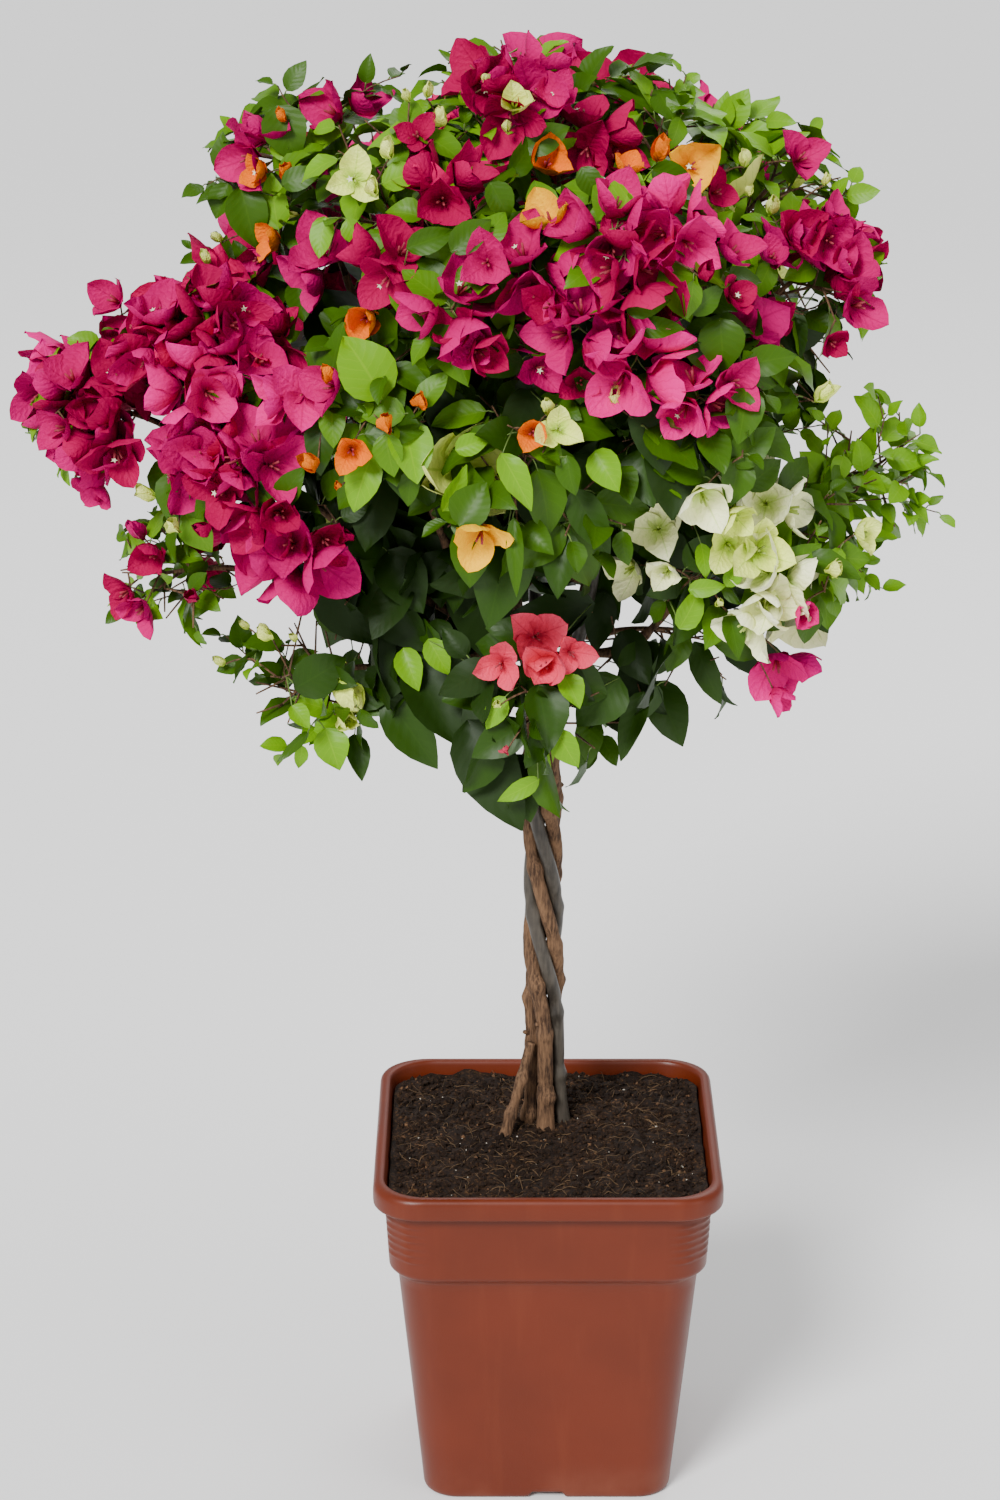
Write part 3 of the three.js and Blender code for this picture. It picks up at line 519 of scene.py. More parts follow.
def pot_material():
    """Moulded plastic: faint mottling and flow streaks, a fine grain, and a film of dust low on the walls."""
    material, tree, principled = shader("pot_plastic", (0.104, 0.0135, 0.0020), 0.4, Specular_IOR_Level=0.3)
    spot = own_spot(tree)
    cloud = noise(tree, spot, 14.0, 4.0)
    streaks = noise(tree, drawn_out(tree, spot, (90, 90, 7)), 1.0, 3.0)
    height = node(tree, "ShaderNodeSeparateXYZ", {0: spot}).outputs[2]
    low = ramp(tree, height, 0.03, 0.0, 0.0, 0.35)
    dust = math_node(tree, "MULTIPLY", low, ramp(tree, cloud, 0.4, 0.65))
    base = mixed(tree, ramp(tree, cloud, 0.3, 0.7), (0.097, 0.0122, 0.0016), (0.114, 0.0150, 0.0026))
    lined = mixed(tree, ramp(tree, streaks, 0.52, 0.75, 0.0, 0.18), base, (0.155, 0.030, 0.008))
    coloured(tree, principled, mixed(tree, dust, lined, (0.22, 0.08, 0.045)))
    tree.links.new(ramp(tree, cloud, 0.3, 0.7, 0.36, 0.47), principled.inputs["Roughness"])
    bump(tree, principled, noise(tree, spot, 900.0, 2.0), 0.0001, 0.5)
    return material


def soil_material(name, dark, light, scale):
    """Moist peat: dark and paler brown grains, and a rough, crumbly relief."""
    material, tree, principled = shader(name, dark, 0.92, Specular_IOR_Level=0.25)
    spot = own_spot(tree)
    grains = noise(tree, spot, scale, 8.0, 0.7)
    damp = ramp(tree, noise(tree, spot, 28.0, 2.0), 0.35, 0.7, 0.0, 0.55)
    base = mixed(tree, ramp(tree, grains, 0.48, 0.70), dark, light)
    coloured(tree, principled, mixed(tree, damp, base, shade_of(dark, 0.4)))
    bump(tree, principled, grains, 0.0012, 1.0)
    return material


def plain_material(name, colour, roughness, shade):
    """One colour with soft patches of a darker shade of it."""
    material, tree, principled = shader(name, colour, roughness, Specular_IOR_Level=0.3)
    patches = ramp(tree, noise(tree, own_spot(tree), 160.0, 3.0), 0.35, 0.7)
    coloured(tree, principled, mixed(tree, patches, shade_of(colour, shade), colour))
    return material


# ---------------------------------------------------------------- the pot
def square_ring(half, corner_share, side_count=44, corner_count=10):
    """A square with round corners, as points: straight sides joined by quarter circles, anticlockwise."""
    radius = half * corner_share
    points = []
    for corner in range(4):
        turn = corner * math.pi / 2
        across = np.linspace(-(half - radius), half - radius, side_count)
        side = np.stack([np.full(side_count, half), across], axis=1)
        sweep = np.linspace(0, math.pi / 2, corner_count + 1)[1:-1]
        arc = (half - radius) + radius * np.stack([np.cos(sweep), np.sin(sweep)], axis=1)
        local = np.concatenate([side, arc])
        rotate = np.array([[math.cos(turn), -math.sin(turn)], [math.sin(turn), math.cos(turn)]])
        points.append(local @ rotate.T)
    return np.concatenate(points)


def pot_profile():
    """The pot's section from the middle of its underside, up the outside, over the lip and down the inside:
    half widths and heights, with small rounds where the walls turn."""
    lip_foot = POT.height - POT.lip_height
    top, rim = POT.height, POT.rim_half
    inner = rim - POT.rim_top_width
    band_foot, band_top = POT.band_foot_half, POT.band_top_half
    band = np.linspace(POT.band_foot_z, lip_foot - 0.0012, POT.band_rings)
    band_half = np.interp(band, [POT.band_foot_z, lip_foot], [band_foot, band_top])
    foot_half, body_top = POT.foot_half, POT.body_top_half
    body = np.linspace(0.012, POT.body_top_z, POT.body_rings)
    body_half = np.interp(body, [POT.foot_edge, POT.body_top_z], [foot_half, body_top])
    foot = [(0.004, 0), (0.03, 0), (0.05, 0), (0.0655, 0), (0.0675, 0), (0.0735, 0), (0.0765, 0),
            (0.0782, 0.0004), (0.0792, 0.0013), (0.0798, 0.003), (0.0801, 0.0052), (0.0803, 0.0075)]
    shoulder = [(0.0957, 0.1625), (0.0975, 0.1648), (0.0993, 0.1662), (0.1002, 0.1675)]
    lip = [(0.1033, lip_foot - 0.0004), (0.105, lip_foot - 0.0001), (0.1085, lip_foot),
           (0.1093, lip_foot + 0.0004), (0.1098, lip_foot + 0.0012), (rim, lip_foot + 0.0028),
           (rim, lip_foot + 0.008), (0.1099, top - 0.0042), (0.1095, top - 0.0026), (0.1086, top - 0.0011),
           (0.1073, top - 0.0003), (0.1062, top), (0.1048, top), (inner + 0.0006, top - 0.0003),
           (inner, top - 0.001), (inner - 0.0006, top - 0.003)]
    wall = POT.wall
    inside = [(band_top - wall, lip_foot), (band_foot - wall, POT.band_foot_z + wall),
              (body_top - wall, POT.body_top_z), (foot_half - wall, 0.008),
              (0.073, POT.floor), (0.03, POT.floor), (0.004, POT.floor)]
    outer = foot + list(zip(body_half, body)) + shoulder + list(zip(band_half, band)) + lip
    return np.array(outer + inside), len(outer)


def make_pot():
    """The wall is its section carried round a square with round corners. Under the middle of each side the
    foot is lifted into a water gap, with sloping ends, and the band has small level ribs by its corners."""
    profile, outer_rings = pot_profile()
    rings = np.array([ring_at(square_ring(half, POT.corner_share), height) for half, height in profile])
    count = rings.shape[1]
    x, y, z = rings[..., 0], rings[..., 1], rings[..., 2]
    outer = np.maximum(np.abs(x), np.abs(y))
    beside = np.minimum(np.abs(x), np.abs(y))
    outside = np.arange(len(profile))[:, None] < outer_rings
    gap = 1 - smoothstep(beside, NOTCH.half_width - NOTCH.slope, NOTCH.half_width)
    gap = gap * smoothstep(outer, NOTCH.starts_at, NOTCH.full_at) * outside
    lifted = np.maximum(z, NOTCH.height * gap)
    below = outside & (z < NOTCH.foot_to_z)
    stepped = np.where(z > NOTCH.foot_from_z, np.maximum(z, lifted + NOTCH.step * gap), lifted)
    z = np.where(below, stepped, z)
    wave = np.clip(np.sin(TURN * (z - RIBS.low_z) / RIBS.pitch), 0, 1)
    zone = (z > RIBS.low_z) & (z < RIBS.high_z) & outside
    share = beside / np.maximum(outer, 1e-6)
    ends = smoothstep(share, RIBS.near, RIBS.full) * (1 - smoothstep(share, RIBS.far, RIBS.gone))
    swell = 1 + RIBS.relief * wave * zone * ends / np.maximum(outer, 1e-6)
    points = np.stack([x * swell, y * swell, z], axis=-1).reshape(-1, 3)
    faces = grid_faces(len(profile), count, closed=True)
    centres = np.array([[0, 0, 0], [0, 0, POT.floor]])
    last = len(points) - count
    ends = np.concatenate([fan(len(points), count, 0, turned=True), fan(len(points) + 1, count, last)])
    points = np.concatenate([points, centres])
    piece("pot_shell", points, [faces, ends], pot_material(), ["pot"])


# ---------------------------------------------------------------- the soil
def soil_height(x, y):
    """Level round the stems, and lower and rougher towards the wall: two slow waves, grown by the distance,
    with soft lumps, with crumbs that only stand up, and with fine grains."""
    out = np.maximum(np.abs(x), np.abs(y))
    fall = smoothstep(out, SOIL.plateau_half, POT.body_top_half)
    waves = np.sin(110 * x + 1.3) * np.cos(130 * y - 0.4) + 0.6 * np.sin(290 * x - 210 * y)
    level = lerp(SOIL.plateau_z, SOIL.edge_z, fall)
    spot = np.stack([x, y, 0 * x], axis=-1)
    large, small, crumbs, grains = (high * smooth_noise(spot, cell, seed) for high, cell, seed in RELIEF)
    return level + fall * SOIL.roughness * 0.6 * waves + (large + small) + (np.abs(crumbs) + grains)


def soil_ring(share):
    """The pot's plan at a share of the soil's half width, rounder towards the middle."""
    corner_share = lerp(0.9, POT.corner_share, min(1, share * 1.6))
    return square_ring(SOIL.half * share, corner_share, SOIL.sides, SOIL.corners)


def make_soil(rng):
    """The surface of the peat and the ball under it, crumbs strewn over it, short fibres, and pale specks."""
    rings = []
    for share in np.linspace(0.01, 1, SOIL.rings):
        plan = soil_ring(share)
        rings.append(ring_at(plan, soil_height(plan[:, 0], plan[:, 1])))
    rings = np.array(rings + [ring_at(soil_ring(share), height) for share, height in BALL])
    count = rings.shape[1]
    faces = grid_faces(len(rings), count, closed=True)[:, ::-1]
    whole = len(rings) * count
    ends = np.concatenate([fan(whole, count), fan(whole + 1, count, whole - count, turned=True)])
    centres = np.array([[0, 0, soil_height(np.zeros(1), np.zeros(1))[0]], [0, 0, BALL[-1][1]]])
    points = np.concatenate([rings.reshape(-1, 3), centres])
    peat = soil_material("soil_peat", (0.011, 0.0043, 0.0015), (0.092, 0.043, 0.015), 420.0)
    piece("soil_surface", points, [faces, ends], peat, ["soil"])
    crumb = soil_material("soil_crumbs", (0.012, 0.0050, 0.0018), (0.074, 0.034, 0.012), 700.0)
    tan = plain_material("soil_bark_bits", (0.13, 0.065, 0.030), 0.9, 0.5)
    pale = plain_material("soil_specks", (0.55, 0.5, 0.42), 0.8, 0.7)
    for name, material, number, low, high in (("soil_crumbs", crumb, 3000, 0.0008, 0.0034),
                                              ("soil_bark_bits", tan, 420, 0.0005, 0.0019),
                                              ("soil_specks", pale, 60, 0.0005, 0.0012)):
        points, faces = lumps(rng, number, low, high)
        piece(name, points, [faces], material, smooth=False)
    points, faces = fibres(rng, 400)
    piece("soil_fibres", points, faces, plain_material("soil_fibre", (0.155, 0.092, 0.044), 0.9, 0.4))


def scattered(rng, number):
    """Spots on the soil. One that falls outside the pot's round corners is drawn in towards the middle."""
    x, y = rng.uniform(-STREWN.half, STREWN.half, (2, number))
    past_x, past_y = (np.maximum(np.abs(side) - STREWN.corner_from, 0) for side in (x, y))
    inwards = np.where(np.hypot(past_x, past_y) > STREWN.corner_radius, STREWN.drawn_in, 1.0)
    return x * inwards, y * inwards


def lumps(rng, number, low, high):
    """Crumbs: an octahedron each, its corners pushed in and out by a draw, turned and strewn on the soil."""
    corners = np.array([[1, 0, 0], [0, 1, 0], [-1, 0, 0], [0, -1, 0], [0, 0, 1], [0, 0, -1]], float)
    faces = np.array([[0, 1, 4], [1, 2, 4], [2, 3, 4], [3, 0, 4], [1, 0, 5], [2, 1, 5], [3, 2, 5], [0, 3, 5]])
    size = low + (high - low) * rng.uniform(0, 1, number) ** 2.2
    shape = corners[None] * rng.uniform(0.55, 1.25, (number, 6, 1)) * rng.uniform(0.6, 1.2, (number, 1, 3))
    turn, tilt = rng.uniform(0, TURN, (2, number))
    c, s, ct, st = np.cos(turn), np.sin(turn), np.cos(tilt), np.sin(tilt)
    zero = np.zeros(number)
    one = np.ones(number)
    yaw = np.array([[c, -s, zero], [s, c, zero], [zero, zero, one]]).transpose(2, 0, 1)
    roll = np.array([[one, zero, zero], [zero, ct, -st], [zero, st, ct]]).transpose(2, 0, 1)
    shape = np.einsum("nij,njk,nlk->nli", yaw, roll, shape) * size[:, None, None]
    x, y = scattered(rng, number)
    place = np.stack([x, y, soil_height(x, y) + 0.35 * size], axis=1)
    return (shape + place[:, None]).reshape(-1, 3), repeated(faces, number, 6)


def fibres(rng, number):
    """Fibres: arcs that lie on the soil, each a circle's part with a draw for its bend and a low hump."""
    x, y = scattered(rng, number)
    length = rng.uniform(0.005, 0.022, number)
    bend = rng.uniform(-1.3, 1.3, number)
    heading = rng.uniform(0, TURN, number)
    t = np.linspace(-0.5, 0.5, 6)
    angle = heading[:, None] + bend[:, None] * t
    step = length[:, None, None] * np.stack([np.cos(angle), np.sin(angle)], axis=-1) / 6
    plan = np.stack([x, y], axis=1)[:, None] * 0.9 + np.cumsum(step, axis=1)
    hump = rng.uniform(0.0, 0.0022, number)[:, None] * (1 - 4 * t**2)
    height = soil_height(plan[..., 0], plan[..., 1]) + 0.0004 + hump
    paths = np.concatenate([plan, height[..., None]], axis=-1)
    return tubes(paths, rng.uniform(0.00010, 0.00024, number)[:, None] * np.ones(6), 4)


# ---------------------------------------------------------------- stems and boughs
def twist_at(z):
    """How far the twist has turned at a height, in degrees: none at the foot, then easing into an even pitch.
    While it eases, the turn goes with the square of the height above its start."""
    above = min(z, TRUNK.braid_top_z) - TRUNK.twist_start_z
    ease = TRUNK.twist_ease
    eased = above**2 / (2 * ease) if above < ease else above - ease / 2
    return 0.0 if above <= 0 else -360 * eased / TRUNK.pitch


def braid_point(foot, z):
    """A stem's middle at a height: round an axis that is a straight, slightly leaning line."""
    angle = math.radians(foot + twist_at(z))
    above = z - TRUNK.foot_z
    spread = TRUNK.braid_radius + TRUNK.foot_spread * math.exp(-above / TRUNK.foot_fade)
    share = above / (TRUNK.braid_top_z - TRUNK.foot_z)
    x, y = lerp(np.array(TRUNK.axis_foot), np.array(TRUNK.axis_top), share)
    return np.array([x + spread * math.cos(angle), y + spread * math.sin(angle), z])


def middle_of(mass):
    """The middle of a mass."""
    return np.array(MASSES[mass][0])


def entry_of(mass, feeder):
    """Where a mass's own stem begins: on its near side, seen from the point that feeds it."""
    middle = middle_of(mass)
    back = feeder - middle
    distance = norm(back)
    return middle + back / distance * min(MASSES[mass][1] * TWIG.entry, distance * BOUGH.farthest)


def stem_path(name):
    """A stem's path, wound up to the fork and then bent outwards to its mass, and the way that it bends."""
    foot, _, _, leads = STEMS[name]
    wound = np.arange(TRUNK.foot_z, TRUNK.braid_top_z - 1e-6, FORK.step)
    points = [braid_point(foot, z) for z in wound]
    fork = braid_point(foot, TRUNK.braid_top_z)
    outward = unit([fork[0] - TRUNK.axis_top[0], fork[1] - TRUNK.axis_top[1], 0])
    entry = entry_of(leads, fork)
    half = lerp(fork, entry, FORK.halfway) + FORK.outward * outward
    points += [fork, lerp(fork, half, 0.5) + FORK.first_outward * outward, half, entry]
    return smooth_path(np.array(points)), outward


def stem_radius(name, path, share):
    """A stem's radius: it thins from foot to tip, is wider at the root flare, and thins faster as a leader.
    Where the stems are wound their bark is thick enough to press on the next stem's."""
    share = np.asarray(share, float)
    length = lengths_along(path)[-1]
    plain = lerp(TRUNK.radius, TRUNK.top_radius, share)
    girth = lerp(STEMS[name][1], 1, np.minimum(1, share * TRUNK.girth_fade))
    flare = 1 + TRUNK.flare * np.exp(-share * length / TRUNK.flare_fade)
    leader = 1 - TRUNK.leader_taper * np.maximum(0, share - TRUNK.leader_from)
    thick = np.clip(share * length / TRUNK.bark_rise - TRUNK.bark_from, 0, 1)
    pressed = 1 + TRUNK.bark * thick * (share < TRUNK.bark_until)
    return plain * girth * flare * leader * pressed


def bough_path(mass, name, path, share):
    """A bough leaves its stem square to it and bows over to its mass."""
    origin = chord_point(path, TRUNK.steps, share)
    ahead = unit(chord_point(path, TRUNK.steps, share + 0.002) - origin)
    towards = middle_of(mass) - origin
    square = unit(towards - towards.dot(ahead) * ahead)
    start = origin + square * (stem_radius(name, path, share) + TWIG.clear)
    entry = entry_of(mass, start)
    bend = start + square * norm(entry - start) * BOUGH.bow
    return bezier(start, bend, entry), origin


def grow_limbs():
    """Every stem's path, and each mass's feeding path with the point inside the stem that it grows from."""
    stems, feeders = {}, {}
    for name, (_, _, _, leads) in STEMS.items():
        path, outward = stem_path(name)
        stems[name] = (path, outward)
        feeders[leads] = (path, None)
        fed = [m for m, row in MASSES.items() if row[3] == name and m != leads]
        fed.sort(key=lambda m: MASSES[m][0][2])
        shares = np.arange(0, 1.0001, 0.005)
        forks_at = shares[np.argmax(along(path, shares)[:, 2] >= TRUNK.braid_top_z)]
        for rank, mass in enumerate(fed):
            rise = lerp(BOUGH.first_height, BOUGH.last_height, (rank + 0.5) / len(fed))
            feeders[mass] = bough_path(mass, name, path, lerp(forks_at, 1, rise))
    return stems, feeders


def hump(away, width):
    """A hump: e to the minus square of the distance from its middle over its width."""
    return np.exp(-((away / width) ** 2))


def barked(path, radius, sides, ref, seed, furrow, knots, count, scars=()):
    """A limb with its bark: the radius times one, plus ridges that run along it and drift round it, plus a
    swelling with a slight waist above it at each knot, and a narrow ring at each scar."""
    share = np.linspace(0, 1, count)
    centre = along(path, share)
    length = lengths_along(path)[-1]
    rng = np.random.default_rng(seed)
    turn = TURN * np.arange(sides) / sides
    s = (share * length)[:, None]
    ridges = 0
    for waves in (3, 5, 8, 11):
        phase = rng.uniform(0, TURN) + 2.2 * np.sin(s * rng.uniform(18, 60) + rng.uniform(0, 6))
        ridges = ridges + np.sin(waves * turn + phase) * rng.uniform(0.5, 1.0) / math.sqrt(waves)
    spot = np.stack([np.cos(turn) + 0 * s, np.sin(turn) + 0 * s, s * 110 + 0 * turn], axis=-1)
    rough = smooth_noise(spot * 3.0, 1.0, seed)
    bulge = 0
    for at, side in knots:
        swelling = KNOT.all_round + KNOT.one_side * np.maximum(0, np.cos(turn - side)) ** 2
        bulge = bulge + hump(s - at, KNOT.width) * swelling
        bulge = bulge - KNOT.waist * hump(s - at - KNOT.waist_above, KNOT.waist_width)
    for at in scars:
        bulge = bulge + SCAR.height * hump(s - at, SCAR.width)
    relief = 1 + furrow * ridges + 0.6 * furrow * rough + bulge
    radii = radius(share)[:, None] * relief
    return tubes(centre[None], radii[None], sides, ref=ref[None])


def knots_for(length, spacing, seed):
    """Knots up a stem, nearly even: how far up each is, and its side, about 138 degrees from the last."""
    rng = np.random.default_rng(seed)
    even = np.arange(0.02, length, spacing)
    at = even + rng.uniform(-0.3, 0.3, len(even)) * spacing
    return [(float(a), float(k * 2.4 + rng.uniform(-0.5, 0.5))) for k, a in enumerate(at)]


def cut_stem():
    """The short stem at the foot, which leans on the others, a quadratic curve from its foot to its cut."""
    foot = np.array([*CUT_STEM.foot, TRUNK.foot_z - TRUNK.sunk])
    top = np.array([*CUT_STEM.top, CUT_STEM.top_z])
    bend = lerp(foot, top, 0.5) + np.array(CUT_STEM.bend)
    return barked(bezier(foot, bend, top), cut_radius, 18, np.array([0.0, 1.0, 0.0]), 71, 0.06,
                  CUT_STEM.knots, 60)


def cut_radius(share):
    """The short stem's radius: it thins from foot to cut, with a root flare that falls off as e to the minus
    six times the share of its length."""
    return lerp(CUT_STEM.radius, CUT_STEM.top_radius, share) * (1 + TRUNK.flare * np.exp(-6 * share))


def bough_radius(share):
    """The radius of a bough at a share of its length."""
    return lerp(BOUGH.radius * BOUGH.bark, BOUGH.tip_radius, share)


def make_trunk(stems, feeders, rng):
    """The wound stems, the short stem that was cut, pruned spurs at knots, and the boughs."""
    woods = {bark: bark_material("bark_" + bark, *BARKS[bark].material) for bark in BARKS}
    parts = {bark: [] for bark in BARKS}
    spurs = []
    for i, (name, (path, outward)) in enumerate(stems.items()):
        bark = BARKS[STEMS[name][2]]
        length = lengths_along(path)[-1]
        knots = knots_for(length, bark.knot_spacing, 50 + i)
        scars = RING_SCARS if name == "stem_front" else ()
        sunk = np.vstack([path[0] - TRUNK.sunk * UP, path])
        made = barked(sunk, partial(stem_radius, name, path), 18, unit(np.cross(UP, outward)), 60 + i,
                      bark.furrow, knots, 300, scars)
        parts[STEMS[name][2]].append(made)
        if STEMS[name][2] == "brown":
            shares = [(at / length, side) for at, side in knots[1:7:2]]
            spurs += [(along(path, share), tangent_at(path, share), side) for share, side in shares]
    parts["brown"].append(cut_stem())
    for root, ahead, side in spurs:
        out = direction_around(ahead, math.radians(SPUR.opening), side)
        reach = rng.uniform(*SPUR.length)
        path = np.array([root, root + out * reach * 0.8, root + out * reach])
        parts["brown"].append(tubes([path], [SPUR.radii], 9))
    for bark, limbs in parts.items():
        nodes = [n for n, row in STEMS.items() if row[2] == bark] + ["stem_cut_short"] * (bark == "brown")
        points, faces = joined(limbs)
        piece("stems_" + bark, points, faces, woods[bark], nodes)
    boughs = []
    for i, (path, origin) in enumerate(feeders.values()):
        if origin is None:
            continue
        whole = np.vstack([origin, path])
        length = lengths_along(whole)[-1]
        ref = unit(np.cross(unit(whole[-1] - whole[0]), UP + np.array([0.01, 0.02, 0])))
        knots = knots_for(length, 0.03, 90 + i)
        boughs.append(barked(whole, bough_radius, 10, ref, 90 + i, 0.05, knots, 50))
    points, faces = joined(boughs)
    piece("boughs", points, faces, woods["brown"],
          ["bough_" + mass for mass, (_, origin) in feeders.items() if origin is not None])
    return woods


# ---------------------------------------------------------------- places in the front view
def sight_line(across, down):
    """The line of sight through a point of the front view: the eye, and the unit direction, which is the
    forward direction plus the offsets from the view's middle over the focal length."""
    pitch = math.radians(CAMERA.pitch)
    forward = np.array([0, math.cos(pitch), -math.sin(pitch)])
    upward = np.array([0, math.sin(pitch), math.cos(pitch)])
    right = np.array([1.0, 0, 0])
    offset = right * (across - CAMERA.width / 2) + upward * (CAMERA.height / 2 - down)
    return np.array(CAMERA.place), unit(forward + offset / CAMERA.focal)


def front_spot(across, down, share):
    """Where the line of sight first comes within a share of a mass's reach. Where it misses them all, the
    point where it passes nearest to one."""
    eye, ahead = sight_line(across, down)
    best = None
    for mass, (middle, reach, *_) in MASSES.items():
        offset = np.array(middle) - eye
        nearest = offset.dot(ahead)
        miss = math.sqrt(max(0, offset.dot(offset) - nearest**2))
        inside = (share * reach) ** 2 - miss**2
        depth = nearest - math.sqrt(inside) if inside > 0 else nearest
        rank = (0, depth) if inside > 0 else (1, miss - reach)
        if best is None or rank < best[0]:
            best = (rank, mass, eye + ahead * depth)
    return best[1], best[2]


def view_spot(across, down, depth):
    """The point on a line of sight at a distance behind the front, along Y."""
    eye, ahead = sight_line(across, down)
    return eye + ahead * (depth - eye[1]) / ahead[1]


# ---------------------------------------------------------------- growth of the masses
def distance_to_reach(mass, start, direction):
    """How far a ray runs before it leaves the mass's reach: where its square distance from the middle is the
    reach squared."""
    offset = start - middle_of(mass)
    ahead = offset.dot(direction)
    return -ahead + math.sqrt(max(0, ahead**2 - offset.dot(offset) + MASSES[mass][1] ** 2))


def grow_twigs(mass, feeder, seed):
    """The mass's own stem, and the main twigs that open from it: (path, flowers)."""
    bears = BEARS[MASSES[mass][2]]
    draw = seeded_draws(seed)
    onward = tangent_at(feeder, 1.0)
    start = feeder[-1] + onward * TWIG.clear
    middle = middle_of(mass)
    axis = unit(middle - start)
    end = middle + axis * MASSES[mass][1] * TWIG.onward
    stem = bezier(start, start + onward * norm(end - start) * TWIG.bend, end)
    twigs = []
    for i in range(bears.twigs):
        share = lerp(TWIG.first, 1, (i + 0.5) / bears.twigs)
        opening = lerp(TWIG.wide, TWIG.narrow, share) + TWIG.stray * (next(draw) - 0.5)
        turn = i * GOLDEN_ANGLE + 0.5 * next(draw)
        direction = direction_around(axis, math.radians(opening), turn)
        flowers = next(draw) < bears.blossom
        root = chord_point(stem, TWIG.stem_steps, share)
        room = (BLOSSOM_ROOM if flowers else WHORL_ROOM) * (0.8 + 0.4 * next(draw))
        span = distance_to_reach(mass, root, direction)
        twigs.append((root, direction, max(span - 0.45 * room, 0.6 * span), flowers))
    return stem, twigs


def bowed(root, direction, length, lift):
    """A twig's path: straight on, with a lift that goes with the square of the way less six tenths of its
    cube."""
    t = np.linspace(0, 1, TWIG_POINTS)[:, None]
    return root + direction * length * t + UP * length * lift * (t**2 - 0.6 * t**3)


SIDE_TWIG = Sizes(number=4, reach=0.66, opening=52, turn=9, shortest=0.012, longest=0.060, lift=(-0.1, 0.2))
MAIN_LIFT = (-0.08, 0.14)
LEAFY_FROM = Sizes(main=0.3, side=0.18)  # how far up a twig its leaves begin
BEHIND = 0.045  # a twig whose tip is deeper than this flowers as the back does
# How leaves sit: angles in degrees, lengths as shares of the blade, and ranges to draw from.
SITTING = Sizes(gap=0.0095, usual=0.036, thinning=0.7, opening=(38, 66), size=(0.66, 1.18), tip_size=0.8,
                stalk=0.18, lowest=-0.5, highest=0.15, hang=0.4, upward=0.8, outward=0.75, scatter=0.34,
                width=(0.54, 0.72), droop=(0.02, 0.30), fold=(0.10, 0.60))
# A bract's width over its length, droop and fold: of a bud, and the ranges of an open flower.
BUD_SHAPE = (0.60, -0.06, 0.9)
BRACT_SHAPE = ((0.70, 0.92), (-0.12, 0.20), (0.25, 0.95))
FLOWER = Sizes(bud_below=25, lean=7, size=(0.9, 1.08), tube=0.42)
CLUSTER = Sizes(outward=0.9, spread=(16, 74), along=0.22, stalk=(0.010, 0.020), room=1.2, deepest=-0.020,
                buds=0.7, small=(0.5, 0.7), large=(0.82, 1.1), facing=0.35, scatter=0.2, bud_opening=(10, 17),
                opening=(34, 60))
# leaf tones, from painted shade (deep) to painted light (bright)
TONES = ("deep", "dark", "mid", "fresh", "bright")
FLOWER_SIZE = 0.039
# The placed flowers, by their half width in the front view: from what width a spray has two, three and four
# flowers, their sizes over the width, and what holds for young ones.
SPRAY = Sizes(more_from=(31, 36, 42), sizes=(1.55, 1.42, 1.32, 1.22), least=0.018, at=0.96, clear_at=1.03,
              opening=(30, 54), young_below=17, young_size=1.9, least_young=0.008, young_opening=(9, 15))
# the tones that paint the shade deep inside the head
INSIDE_TONES = ("deep", "dark")
INSIDE = Sizes(long_limb=0.3, first=0.35, first_on_long=0.70, last=0.97, gap=0.022, opening=65,
               length=(0.018, 0.034), lift=-0.1, reach=0.9, lowest_z=0.55, leaf_opening=50, hang=(-1.1, -0.1),
               deep=0.75, stalk=0.005, blade=(0.040, 0.060), width=(0.54, 0.68), droop=(0, 0.2), fold=0.2)
OUTER, INNER = 0.90, 0.72  # how far out in its mass a single leaf sits, as a share of the reach
# Where the front view is open to what lies behind: across, down and half width, kept clear with a margin.
OPENING_MARGIN = 12
OPENINGS = [
    (284, 608, 22), (352, 640, 14), (600, 606, 18), (606, 650, 16), (695, 638, 9), (676, 698, 20),
    (146, 424, 9), (230, 618, 14), (838, 378, 14), (478, 20, 18), (520, 8, 24), (560, 16, 18),
    (602, 34, 18), (596, 44, 22), (624, 38, 14), (852, 146, 16), (874, 184, 8), (662, 118, 6),
    (150, 280, 12), (128, 462, 6), (122, 564, 8), (168, 622, 8), (816, 316, 12), (834, 318, 6),
    (842, 404, 12), (848, 434, 10), (796, 428, 8), (822, 424, 6), (886, 460, 8), (310, 636, 20),
    (286, 634, 12), (274, 668, 6), (262, 700, 14), (280, 706, 8), (262, 742, 20), (296, 738, 5),
    (296, 776, 8), (590, 636, 6), (584, 613, 5), (612, 742, 18), (740, 668, 8), (692, 672, 6),
    (448, 758, 6),
]
UNDERSIDE = Sizes(level=0.507, middle=-0.014, clear=0.020, twigs_higher=0.012)  # lower only by the middle
# What is kept in sight: how far out flowers are, a leaf's half width over its length, the share of the width
# that stays clear, how much of a leaf's own length it keeps off, and how far behind.
SHOWS = Sizes(flowers_at=0.96, leaf_half=0.30, width=0.9, leaf_width=0.10, behind=0.010)
